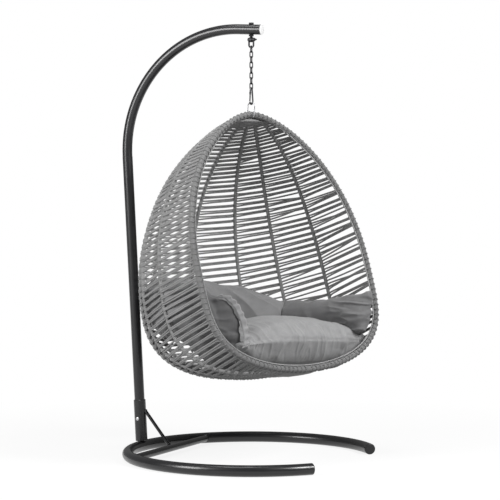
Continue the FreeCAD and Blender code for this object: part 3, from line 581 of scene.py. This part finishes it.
# Rim: the steel hoop of the basket's mouth, wound all round with rope, thicker than the ribs.
# The basket's own axes are side, forward and up from its top point, and its skin runs from a
# pole at the bottom front to that point.
BAIL_RISE = 0.053
APEX = Vector((0, HANG_Y, HOOK_TOP - HOOK_LENGTH + HOOK_BAR + LINK_PLAY - BAIL_RISE))
TURN = math.radians(23)
ahead = Vector((-math.sin(TURN), -math.cos(TURN), 0))
aside = Vector((math.cos(TURN), -math.sin(TURN), 0))
POLE_FORWARD, POLE_DROP = 0.3314, 1.113
POLE = Vector((0, POLE_FORWARD, -POLE_DROP))
SPINE = -POLE
BACK = -Vector((0, SPINE.z, -SPINE.y)).normalized()
MOUTH_HALF_WIDTH, MOUTH_FORWARD, MOUTH_DROP = 0.5078, 0.3661, 1.1066
RIM_STEPS, RIM_RADIUS, RIM_GROOVE, RIM_OUT = 220, 0.0129, 0.0014, 0.0036
ROPE_PITCH, PER_TURN = 0.0056, 4  # a winding's width along the rod, and its rings of points


def basket(point):
    """A point of the basket's own axes in the chair's frame."""
    return APEX + aside * point[0] + ahead * point[1] + Vector((0, 0, point[2]))


def breadth(share, widest, up_power, up_root, down_power, down_root):
    """Breadth from 0 to 1 between the pole (0) and the top point (1)."""
    if share >= widest:
        return max(0.0, 1 - ((share - widest) / (1 - widest)) ** up_power) ** (1 / up_root)
    return max(0.0, 1 - ((widest - share) / widest) ** down_power) ** (1 / down_root)


def mouth(side, share):
    """Point of the left (-1) or right (1) edge of the mouth at a share of its height."""
    width = MOUTH_HALF_WIDTH * breadth(share, 0.38, 2.17, 1.63, 3.86, 2.0)
    return basket((side * width, MOUTH_FORWARD * (1 - share), -MOUTH_DROP * (1 - share)))


def spaced(line, count):
    """Points at equal steps along a line, from end to end."""
    marks = [0.0]
    for a, b in zip(line, line[1:]):
        marks.append(marks[-1] + (b - a).length)
    points, at = [], 0
    for k in range(count + 1):
        goal = marks[-1] * k / count
        while at < len(marks) - 2 and marks[at + 1] < goal:
            at += 1
        part = (goal - marks[at]) / max(marks[at + 1] - marks[at], 1e-9)
        points.append(line[at].lerp(line[at + 1], part))
    return points


def even(curve, count):
    """Points at equal steps along a curve of share 0 to 1."""
    return spaced([curve((1 - math.cos(math.pi * k / 600)) / 2) for k in range(601)], count)


CORE = basket((0, 0.06, -POLE_DROP * 0.6))


def outward(point, run):
    """Direction from the core of the basket to a point, square to a run of rope."""
    away = point - CORE
    return (away - run * away.dot(run)).normalized()


# The rope is a round braided cord of mid grey plastic yarn. UV runs along the cord in metres
# and once round it, so that the braid's little diamonds follow every strand and winding.
def cord_uv(finish):
    """Wires of the distance along a cord and of the share of a turn round it."""
    along = finish.add("ShaderNodeSeparateXYZ", {}, [finish.place("UV")], 0)
    return along, Wire(finish, along.socket.node.outputs[1])


def rope_finish(name, dark, light):
    finish = Finish(name, "grey_rope", Roughness=0.7, Specular_IOR_Level=0.3)
    along, around = cord_uv(finish)
    slant = along * (math.tau / 0.0062)
    right_hand = (slant + around * (math.tau * 3)).sine()
    left_hand = (slant - around * (math.tau * 3)).sine()
    braid = (right_hand.size() + left_hand.size()) * 0.5
    fleck = finish.speckle(520, 3)
    # The colour is darker in the braid's grooves, a painted shade, and also has random flecks and
    # mottling.
    tone_with_groove_shade = braid * 0.42 + fleck * 0.34 + finish.speckle(14, 3) * 0.34
    finish.give(Base_Color=finish.shade(tone_with_groove_shade, grey(dark), grey(light)),
                Roughness=0.62 + fleck * 0.25,
                Normal=finish.relief(braid, 0.0009, 0.7,
                                     finish.relief(finish.speckle(2600, 2), 0.0003, 0.4)))
    return finish


def skinned(name, verts, faces, spots):
    """Mesh object with its own UV map, its faces turned outwards."""
    piece = mesh_piece(name, verts, [], faces)
    layer = piece.data.uv_layers.new(name="UVMap")
    for loop, spot in zip(layer.data, spots):
        loop.uv = spot
    piece.data.validate()
    alone(piece)
    edit_all()
    face_outwards()
    return piece


def band(low, up, sides):
    """Faces between two rings of points, from the numbers of their first ones."""
    return [(low + j, low + (j + 1) % sides, up + (j + 1) % sides, up + j) for j in range(sides)]


def sleeve(parts, line, closed, sides, radius_at, spot_at):
    """Adds a round skin along a line to the verts, faces and UV spots of a mesh."""
    verts, faces, spots = parts
    first, count = len(verts), len(line)
    for k, point in enumerate(line):
        before = line[k - 1] if k or closed else point
        after = line[(k + 1) % count] if k < count - 1 or closed else point
        run = (after - before).normalized()
        out = outward(point, run)
        across = run.cross(out)
        for j in range(sides):
            angle = math.tau * j / sides
            r = radius_at(point, k, j)
            verts.append(point + out * (r * math.cos(angle)) + across * (r * math.sin(angle)))
    for k in range(count if closed else count - 1):
        faces += band(first + k * sides, first + (k + 1) % count * sides, sides)
        for j in range(sides):
            spots += [spot_at(k, j), spot_at(k, j + 1), spot_at(k + 1, j + 1), spot_at(k + 1, j)]
    if not closed:
        bottom, top = range(first, first + sides), range(len(verts) - sides, len(verts))
        faces += [tuple(reversed(bottom)), tuple(top)]
        spots += [(0.0, 0.0)] * (2 * sides)


def wound_tube(name, route, radius, closed, sides, groove):
    """Rod with cord wound round it: the skin rises and falls along a screw line."""
    route = route + route[:1] if closed else route
    turns = round(sum((b - a).length for a, b in zip(route, route[1:])) / ROPE_PITCH)
    line = spaced(route, turns * PER_TURN)
    if closed:
        line.pop()

    def radius_at(point, k, j):
        ridge = abs(math.sin(math.pi * (k / PER_TURN - j / sides)))
        return radius - groove * (1 - ridge) ** 2 + 0.0003 * noise.noise(point * 60)

    def spot_at(k, j):
        return j / sides * math.tau * radius, (k / PER_TURN - j / sides) * 0.5

    parts = ([], [], [])
    sleeve(parts, line, closed, sides, radius_at, spot_at)
    return skinned(name, *parts)


rope = rope_finish("braided_rope", 0.085, 0.400)
# The rope of the rim, its stitches and its wraps is a darker copy of the same rope, a painted
# shade for the rim's shaded inner face.
rim_rope_painted_darker = rope_finish("braided_rope_painted_darker_at_the_rim", 0.060, 0.290)
left_rim = even(lambda share: mouth(-1, share), RIM_STEPS)
right_rim = even(lambda share: mouth(1, share), RIM_STEPS)
hoop = left_rim + right_rim[-2:0:-1]
mouth_middle = basket((0, 0.19, -0.60))
hoop_inner = []
for k, point in enumerate(hoop):
    run = (hoop[(k + 1) % len(hoop)] - hoop[k - 1]).normalized()
    inner = mouth_middle - point
    hoop_inner.append((inner - run * inner.dot(run)).normalized())
mouth_out = (basket((1, 0, 0)) - basket((0, 0, 0))).cross(basket(POLE) - basket((0, 0, 0)))
mouth_out = mouth_out.normalized()
if mouth_out.dot(ahead) < 0:
    mouth_out.negate()
hoop_line = [p - q * RIM_OUT for p, q in zip(hoop, hoop_inner)]
settle(wound_tube("rim", hoop_line, RIM_RADIUS, True, 20, RIM_GROOVE), "rim_winding", rim_rope_painted_darker,
       "basket", ["rim_hoop"])

# Edging cord, stitches and wraps: a light twisted cord is laid along the inner side of the
# rim and goes under the winding at the crown. Short loops of rope tie it down all round.
EDGE_CORD, EDGE_REACH, EDGE_HIDDEN, EDGE_LIFT = 0.0031, 0.0140, 0.0050, 0.003
EMERGES, EMERGING = 0.02, 0.11  # how far below the crown the cord starts to show, and over what
STITCH_STEP, STITCH_CORD, WRAP_CORD = 0.0185, 0.0021, 0.0026
STITCH_ARC, WRAP_ARC = (5, 75, 0.0142), (60, 285, 0.0138)  # degrees round the rim, and radius
edging = Finish("light_edging_cord", "grey_rope", Roughness=0.6, Specular_IOR_Level=0.35)
edge_along, edge_round = cord_uv(edging)
twist = (edge_along * (math.tau / 0.008) + edge_round * (math.tau * 2)).sine().size()
# The cord's colour is darker in the grooves of its twist, a painted shade, and also has random
# flecks.
edging.give(Base_Color=edging.shade(twist * 0.6 + edging.speckle(500, 3) * 0.4, grey(0.15),
                                    grey(0.42)),
            Normal=edging.relief(twist, 0.0008, 0.6))


def cord_mesh(name, routes, radius, sides=8, closed=False):
    """Round cords along short routes, all in one mesh, with UV along and round each."""
    parts = ([], [], [])
    for route in routes:
        marks = [0.0]
        for a, b in zip(route, route[1:] + route[:1]):
            marks.append(marks[-1] + (b - a).length)
        sleeve(parts, route, closed, sides, lambda point, k, j: radius,
               lambda k, j: (marks[k], j / sides))
    return skinned(name, *parts)


crown_height = max(p.z for p in hoop)
edge_line = []
for p, q in zip(hoop, hoop_inner):
    bare = min(1.0, max(0.0, (crown_height - EMERGES - p.z) / EMERGING))
    edge_line.append(p + q * (EDGE_HIDDEN + (EDGE_REACH - EDGE_HIDDEN) * bare)
                     + mouth_out * EDGE_LIFT * bare)
settle(cord_mesh("edge", [edge_line], EDGE_CORD, 10, True), "rim_edging_cord", edging, "basket")
stitches, wraps = [], []
since_last = 0.0
for k in range(1, len(hoop)):
    since_last += (hoop[k] - hoop[k - 1]).length
    if since_last > STITCH_STEP:
        since_last = 0.0
        run = (hoop[k] - hoop[k - 1]).normalized()
        lean = run * (0.008 + 0.003 * noise.noise(hoop[k] * 40))
        for loops, (low, high, reach_out) in ((stitches, STITCH_ARC), (wraps, WRAP_ARC)):
            loop = []
            for step in range(9):
                share = step / 8
                turn = math.radians(low + (high - low) * share)
                out = hoop_inner[k] * math.cos(turn) + mouth_out * math.sin(turn)
                loop.append(hoop_line[k] + out * reach_out + lean * (share - 0.5))
            loops.append(loop)
settle(cord_mesh("stitch", stitches, STITCH_CORD, 6), "rim_stitches", rim_rope_painted_darker, "basket")
settle(cord_mesh("wrap", wraps, WRAP_CORD), "rim_wraps", rim_rope_painted_darker, "basket")

# Ribs: eight steel rods bent to the skin of the basket, which meet at its top point and at
# the bottom front. Each is wound from end to end with the same rope.
RIB_ANGLES = [-71.32, -52.97, -35.96, -13.23, 13.23, 35.96, 52.97, 71.32]
BASKET_HALF_WIDTH, BASKET_DEPTH = 0.529, 0.7744
RIB_RADIUS, RIB_GROOVE, RIB_STEPS = 0.0082, 0.0011, 420
RIB_HIDDEN = 21  # steps at each end that lie inside the knots at crown and base


def half_width(share):
    return BASKET_HALF_WIDTH * breadth(share, 0.29, 2.23, 1.84, 2.75, 3.76)


def full_depth(share):
    return BASKET_DEPTH * breadth(share, 0.34, 2.13, 1.66, 2.11, 2.02)


def skin(angle, share):
    """Point of the basket's skin at an angle from straight back and a share of its height."""
    side = half_width(share) * math.sin(angle)
    deep = full_depth(share) * math.cos(angle)
    return basket(POLE + SPINE * share + Vector((side, 0, 0)) + BACK * deep)


rib_lines = []
for order, degrees in enumerate(RIB_ANGLES, start=1):
    line = even(lambda share: skin(math.radians(degrees), share), RIB_STEPS)
    rib_lines.append(line)
    settle(wound_tube("rib", line[RIB_HIDDEN:-RIB_HIDDEN], RIB_RADIUS, False, 12, RIB_GROOVE),
           "rib_winding_%d" % order, rope, "basket", ["wound_rib_%d" % order])

# Rope courses: each course is a doubled strand laid over the ribs. The two leave a rib apart
# and soon lie side by side, so the gaps are wedges. They crowd towards the top point.
ROPE_RADIUS = 0.0040
FIRST, LAST = 0.055, 0.945
EVEN_COURSES, CROWDED_COURSES = 48.0, 21.0
OVER_RIB = (0.0, 0.035, 0.08, 0.16, 0.28, 0.42, 0.62, 0.84, 0.92, 0.965, 1.0)
RIB_RISE, SKIN_RISE, SAG = 0.0066, 0.0008, 0.0014
OPENED_LEFT, OPENED_RIGHT = 0.20, 0.25  # wedge at a rib, as a share of the gap between courses
BUNCHED, BUNCHED_AT_RIM = 0.22, 0.75
SIDE_BY_SIDE = 0.00180  # share of a column between a course's middle and each of its strands
columns = [left_rim] + rib_lines + [right_rim]


def on_column(column, share):
    """Point of a rib's or the rim's line at a share of its length."""
    at = min(max(share, 0.0), 1.0) * (len(column) - 1)
    low = min(int(at), len(column) - 2)
    return column[low].lerp(column[low + 1], at - low)


def courses_below(share):
    return EVEN_COURSES * share + CROWDED_COURSES * share ** 2


def course_share(count):
    """Share of a column's length at which a course lies, counted from the pole."""
    return ((math.sqrt(EVEN_COURSES ** 2 + 4 * CROWDED_COURSES * count) - EVEN_COURSES)
            / (2 * CROWDED_COURSES))


first_course = courses_below(FIRST)
courses = int(courses_below(LAST) - first_course)
for bay in range(len(columns) - 1):
    near, far = columns[bay], columns[bay + 1]
    opened = OPENED_LEFT if bay < 4 else OPENED_RIGHT
    bunching = BUNCHED_AT_RIM if bay == 8 else BUNCHED
    strands = []
    for k in range(courses + 1):
        share = course_share(first_course + k)
        gap = course_share(first_course + k + 1) - share
        group = Vector((bay * 7.3, k * 0.83, 0))
        bunch = noise.noise(group) * gap * bunching
        spread = max(0.0, 1 - max(0.0, share - 0.12) / 0.16) * gap * 0.22
        for pair in (-1, 1):
            seed = Vector((bay * 7.3, k * 1.7, pair * 2.9))
            loose = noise.noise(seed) * gap
            crossing = pair * gap * 0.9 if abs(noise.noise(seed * 3.1)) > 0.56 else 0.0
            tight = pair * max(spread, SIDE_BY_SIDE * (1 + 0.5 * noise.noise(seed * 1.3)))
            a = on_column(near, share + pair * gap * opened + loose * 0.10)
            b = on_column(far, share + tight + loose * 0.07 + bunch + crossing)
            joined = on_column(near, share + tight + loose * 0.10)
            run = (b - a).normalized()
            out_a, out_b = outward(a, run), outward(b, run)
            sag = SAG * noise.noise(seed * 2.1)
            points = []
            for t in OVER_RIB:
                rise = RIB_RISE * max(0.0, 1 - 9 * min(t, 1 - t)) ** 2
                apart = max(0.0, 1 - t / 0.45) ** 1.7
                p = (joined + (a - joined) * apart).lerp(b, t)
                p += out_a.lerp(out_b, t) * (rise + SKIN_RISE)
                points.append(p + Vector((0, 0, sag * 4 * t * (1 - t))))
            strands.append(points)
    settle(cord_mesh("bay", strands, ROPE_RADIUS), "rope_strands_%d" % (bay + 1), rope,
           "basket", ["rope_bay_%d" % (bay + 1)])

# Crown and base knots: where all ribs run together, at the top point and at the bottom front,
# the rope is wound round them into one dense disc with a spiral of windings on it.
KNOT_WINDING, KNOT_RIDGE, KNOT_VOXEL = 0.0112, 0.0014, 0.003
CAD_WELD = 0.00005


def even_skin(piece, voxel, rounds):
    """Fresh even mesh over a copy of a CAD solid, whose loose triangles are merged first."""
    edit_all()
    bpy.ops.mesh.remove_doubles(threshold=CAD_WELD)
    bpy.ops.object.mode_set(mode="OBJECT")
    mesh_again = piece.modifiers.new("even", "REMESH")
    mesh_again.mode, mesh_again.voxel_size = "VOXEL", voxel
    soften = piece.modifiers.new("soften", "SMOOTH")
    soften.iterations = rounds
    apply_modifiers(piece)


def rope_knot(node, name):
    """Disc of windings made from the CAD's wrap."""
    piece = placed(name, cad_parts[node].data.copy())
    alone(piece)
    even_skin(piece, KNOT_VOXEL, 12)
    centre = sum((v.co for v in piece.data.vertices), Vector()) / len(piece.data.vertices)
    axis = (centre - CORE).normalized()

    def across_disc(point):
        off = point - centre
        return off - axis * off.dot(axis)

    for vertex in piece.data.vertices:
        ring_at = across_disc(vertex.co).length / KNOT_WINDING
        ridge = abs(math.sin(ring_at * math.pi + noise.noise(vertex.co * 12)))
        vertex.co += axis * (KNOT_RIDGE * ridge)
    layer = piece.data.uv_layers.new(name="UVMap")
    for loop in piece.data.loops:
        flat = across_disc(piece.data.vertices[loop.vertex_index].co)
        turn_at = math.atan2(flat.dot(aside), flat.dot(aside.cross(axis)))
        layer.data[loop.index].uv = (turn_at * flat.length, flat.length / KNOT_WINDING)
    settle(piece, name, rope, "basket", [node])


rope_knot("crown_wrap", "crown_knot")
rope_knot("base_wrap", "base_knot")

# Hanging bail: a zinc plated rod bent to an arch that the hook holds. Its front foot is
# fixed at the rim and its back foot goes down into the crown.
BAIL_ROD, BAIL_HALF, BAIL_SHOULDER, BAIL_ARCH = 0.0025, 0.0215, 0.0430, 0.0125
bail_side = [(0.0120, -0.008), (0.0192, 0.002)]
for k in range(17):
    a = math.radians(180 * k / 16)
    bail_side.append((BAIL_HALF * math.cos(a), BAIL_SHOULDER + BAIL_ARCH * math.sin(a)))
bail_side.append((-0.028, -0.024))
bail = bent_rod("bail", [basket((0, forward, up)) for forward, up in bail_side], BAIL_ROD)
settle(bail, "bail_rod", zinc, "basket", ["hanging_bail"], 40)

# Seat cushion: a plump loose pad with fibre filling in grey outdoor cloth. It is gathered all
# along its front below the seam, and its right corner is pushed into the basket's corner.
WEAVE, CUSHION_SHRINK, CLEAR_OF_WALL = 330.0, 0.004, 0.016
cloth = Finish("grey_outdoor_cloth", "grey_fabric", Roughness=0.85, Specular_IOR_Level=0.25,
               Sheen_Weight=0.25, Sheen_Roughness=0.5)
where = cloth.place()
warp, weft = [cloth.add("ShaderNodeTexWave", {"wave_type": "BANDS", "bands_direction": way},
                        {"Vector": where, "Scale": WEAVE, "Distortion": 0.6}, "Fac")
              for way in ("DIAGONAL", "Z")]
threads = (warp + weft) * 0.5
mottle = cloth.speckle(22, 4)
yarn = cloth.speckle(900, 2)
# Painted shade: a per-point amount, given to each cushion by place, mixes the cloth's colour
# towards near black where the basket lies in shade.
depth = cloth.add("ShaderNodeAttribute", {"attribute_name": "deep_dye"}, {}, "Fac")
dyed = cloth.shade(mottle * 0.5 + yarn * 0.25 + threads * 0.25, (0.185, 0.185, 0.187),
                   (0.380, 0.380, 0.383))
cloth.give(Base_Color=cloth.add("ShaderNodeMix", {"data_type": "RGBA"},
                                {0: depth, 6: dyed, 7: (0.030, 0.030, 0.031, 1)}, 2),
           Roughness=0.78 + yarn * 0.15,
           Normal=cloth.relief(threads, 0.0004, 0.35, cloth.relief(mottle, 0.004, 0.15)))


def own(point):
    """A point of the chair's frame in the basket's own axes."""
    off = point - APEX
    return Vector((off.dot(aside), off.dot(ahead), off.z))


def between(value, low, high):
    """0 below the low value, 1 above the high one, and a smooth rise between them."""
    share = min(1.0, max(0.0, (value - low) / (high - low)))
    return share * share * (3 - 2 * share)


def cushion_start(node, voxel, extra):
    """Fresh even mesh of a cushion's CAD solid, a little smaller, ready to be inflated."""
    piece = placed(node + "_form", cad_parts[node].data.copy())
    alone(piece)
    if extra:
        extra.select_set(True)
        bpy.ops.object.join()
    even_skin(piece, voxel, 8)
    normals = [v.normal.copy() for v in piece.data.vertices]
    for vertex, normal in zip(piece.data.vertices, normals):
        vertex.co -= normal * CUSHION_SHRINK
    return piece


def inflate(piece, cap, pressure=4.0, frames=16):
    """Cloth under inner pressure, stepped and then frozen, no point moving beyond the cap."""
    before = [v.co.copy() for v in piece.data.vertices]
    cloth_run = piece.modifiers.new("Cloth", "CLOTH")
    for name, value in (("quality", 4), ("mass", 0.3), ("tension_stiffness", 30),
                        ("compression_stiffness", 12), ("bending_stiffness", 0.3),
                        ("use_pressure", True), ("uniform_pressure_force", pressure)):
        setattr(cloth_run.settings, name, value)
    cloth_run.settings.effector_weights.gravity = 0
    cloth_run.point_cache.frame_end = frames
    for number in range(1, frames + 1):
        bpy.context.scene.frame_set(number)
    shape = piece.evaluated_get(bpy.context.evaluated_depsgraph_get())
    after = [v.co.copy() for v in shape.data.vertices]
    piece.modifiers.remove(cloth_run)
    bpy.context.scene.frame_set(1)
    for vertex, old, new in zip(piece.data.vertices, before, after):
        move = new - old
        if move.length > cap:
            move = move.normalized() * cap
        vertex.co = old + move


def kept_inside(p):
    """Holds a point of a cushion a finger's breadth inside the woven wall."""
    off = p - POLE
    share = min(0.97, max(0.02, off.dot(SPINE) / SPINE.length_squared))
    deep = off.dot(BACK)
    wide = half_width(share) - CLEAR_OF_WALL
    long = full_depth(share) - CLEAR_OF_WALL
    if deep < 0:
        return Vector((max(-wide, min(wide, p.x)), p.y, p.z))
    reach_share = math.hypot(p.x / wide, deep / long)
    if reach_share <= 1:
        return p
    return p - Vector((p.x, 0, 0)) * (1 - 1 / reach_share) - BACK * (deep * (1 - 1 / reach_share))


def crest(x, y, z):
    """Narrow ridges with wide hollows between them, as drawn cloth has."""
    return max(0.0, 1 - 2.6 * abs(noise.noise(Vector((x, y, z))))) ** 1.6


def crease(piece, height, dye):
    """Raises a cushion's skin, and stores a painted shade for its colour, by amounts that depend
    on the place.
    """
    finer = piece.modifiers.new("finer", "SUBSURF")
    finer.levels = finer.render_levels = 1
    alone(piece)
    apply_modifiers(piece)
    normals = [v.normal.copy() for v in piece.data.vertices]
    for vertex, normal in zip(piece.data.vertices, normals):
        spot = own(vertex.co)
        vertex.co += normal * (height(spot) + 0.003 * noise.noise(spot * 14))
    painted_shade_layer = piece.data.attributes.new("deep_dye", "FLOAT", "POINT")
    painted_shade_layer.data.foreach_set("value", [dye(own(v.co)) for v in piece.data.vertices])


def make_cushion(node, name, voxel, cap, shape, folds, dye, extra=None):
    """Cushion from its CAD solid: inflated, moved into its place, folded and covered."""
    piece = cushion_start(node, voxel, extra)
    inflate(piece, cap)
    for vertex in piece.data.vertices:
        vertex.co = basket(kept_inside(shape(own(vertex.co))))
    crease(piece, folds, dye)
    settle(piece, name, cloth, "basket", [node])


def seat_seam(x):
    """Height of the seat's front seam, which falls off to the right."""
    share = (x - 0.047) / 0.366
    return POLE.z + 0.1238 - 0.018 * share - 0.008 * share ** 2


def seat_shape(p):
    right = between(p.x, 0.10, 0.45) ** 2
    left = between(-p.x, -0.05, 0.30)
    upper = between(p.z, -1.01, -0.93)
    return Vector((p.x + 0.085 * right, p.y, p.z - 0.050 * left * upper))


def seat_folds(p):
    front = between(p.y, 0.06, 0.20)
    over = p.z - seat_seam(p.x)
    gathered = front * between(over, -0.12, -0.02) * (1 - between(over, 0.035, 0.10))
    wide = crest(p.x * 12, p.y * 2, p.z * 4.5 + p.x * 1.5)
    fine = crest(p.x * 28, p.y * 3, p.z * 9)
    drawn = -0.0035 * front * max(0.0, 1 - abs(over) / 0.008)
    return gathered * (0.0125 * wide + 0.0050 * fine) + drawn


make_cushion("seat_cushion", "seat_pad", voxel=0.008, cap=0.012, shape=seat_shape,
             folds=seat_folds, dye=lambda p: 0.0)

# Back cushion: a long pad bent along the wall. Its left end comes forward to the rim, where
# the end panel meets the face in a seam with a ruffled edge.
end_seam = [(-0.389, 0.209, -0.782), (-0.340, 0.211, -0.788), (-0.310, 0.219, -0.813),
            (-0.289, 0.228, -0.842), (-0.279, 0.241, -0.879), (-0.275, 0.254, -0.919),
            (-0.279, 0.268, -0.961), (-0.291, 0.279, -0.994), (-0.306, 0.283, -1.006),
            (-0.300, 0.262, -1.032), (-0.270, 0.225, -1.065)]
wall_seam = [(-0.440, 0.160, -0.782), (-0.468, 0.156, -0.800), (-0.472, 0.158, -0.820),
             (-0.470, 0.160, -0.845), (-0.462, 0.164, -0.880), (-0.452, 0.168, -0.918),
             (-0.425, 0.172, -0.958), (-0.392, 0.176, -0.990), (-0.365, 0.178, -1.004),
             (-0.345, 0.170, -1.032), (-0.300, 0.150, -1.065)]
OUTER_INTO_PAD, INNER_INTO_PAD = Vector((0.02, -0.24, 0)), Vector((-0.03, -0.30, 0))
verts, faces = [], []
for inner, outer in zip(end_seam, wall_seam):
    inner, outer = Vector(inner), Vector(outer)
    verts += [basket(p) for p in (inner, outer, outer + OUTER_INTO_PAD, inner + INNER_INTO_PAD)]
for low in range(0, len(verts) - 4, 4):
    faces += band(low, low + 4, 4)
faces += [(0, 1, 2, 3), tuple(reversed(range(len(verts) - 4, len(verts))))]
back_end = mesh_piece("back_end", verts, [], faces)
alone(back_end)
edit_all()
face_outwards()


def back_shape(p):
    fall = between(p.z, -0.95, -0.78) * max(0.0, p.x / 0.33) ** 1.5
    sunk = between(-p.z, 0.95, 1.06)
    return Vector((p.x, p.y, p.z - 0.048 * fall - 0.055 * sunk))


def back_folds(p):
    across, along = (p.x + p.z) * 0.7, (p.x - p.z) * 0.7
    high = between(p.z, -0.95, -0.80)
    panel = between(p.y, 0.12, 0.20)
    drawn = crest(across * 15, along * 3.5, p.y * 3)
    return (0.016 * drawn * (0.35 + 0.65 * high) * (1 - panel)
            + 0.005 * panel * crest(p.x * 8, 3.1, p.z * 26))


# The back cushion is painted with shade, most of all on its left end panel.
make_cushion("back_cushion", "back_pad", voxel=0.009, cap=0.010, shape=back_shape,
             folds=back_folds, dye=lambda p: 0.25 + 0.45 * between(p.y, 0.10, 0.16),
             extra=back_end)

# Ruffle: a gathered strip of the same cloth that is sewn into the seam at the end of the
# back cushion and stands out from it in small waves.
RUFFLE_CLOTH, RUFFLE_WIDTH, RUFFLE_SUNK, RUFFLE_WAVE = 0.0022, 0.028, 0.020, 0.0050
RUFFLE_OUT, RUFFLE_ASIDE = Vector((0.85, 0.30, 0.35)), Vector((-0.1, 0.8, 0.4))
RUFFLE_FOOT = Vector((0, 0.014, 0.004))
ACROSS, PER_POINT = 4, 12  # strips across the ruffle, and its steps from point to point
verts, faces = [], []
seam_route = []
for a, b in zip(end_seam[:8], end_seam[1:9]):
    seam_route += [Vector(a).lerp(Vector(b), t / PER_POINT) for t in range(PER_POINT)]
for k, point in enumerate(seam_route):
    wave = math.sin(k * 0.62 + 2.2 * noise.noise(Vector((k * 0.11, 0, 0))))
    for j in range(ACROSS + 1):
        step = j / ACROSS
        flare_out = RUFFLE_OUT * (RUFFLE_WIDTH * step - RUFFLE_SUNK)
        ripple = RUFFLE_ASIDE * (RUFFLE_WAVE * wave * step) + RUFFLE_FOOT
        verts.append(basket(point + flare_out + ripple))
for k in range(len(seam_route) - 1):
    for j in range(ACROSS):
        low, up = (ACROSS + 1) * k + j, (ACROSS + 1) * (k + 1) + j
        faces.append((low, low + 1, up + 1, up))
ruffle = mesh_piece("ruffle", verts, [], faces)
give_wall(ruffle, RUFFLE_CLOTH, 0)
settle(ruffle, "back_pad_ruffle", cloth, "basket")

# Side cushion: a smaller pad of the same cloth that stands loose against the right wall. It
# is drawn into folds at its front end.


def side_shape(p):
    front = between(p.y, 0.0, 0.26) ** 1.5
    upper = between(p.z, -0.96, -0.82)
    return Vector((p.x - 0.012 * front, p.y + 0.085 * front, p.z + upper * (-0.014 + 0.075 * p.y)))


def side_folds(p):
    front = between(p.y, 0.04, 0.26)
    return (0.0090 * front * crest(p.x * 8, p.y * 5, p.z * 33)
            + 0.003 * crest(p.x * 5, p.y * 7, p.z * 9))


# The side cushion is painted with shade all over; the seat cushion has none.
make_cushion("side_cushion", "side_pad", voxel=0.008, cap=0.012, shape=side_shape,
             folds=side_folds, dye=lambda p: 0.50)
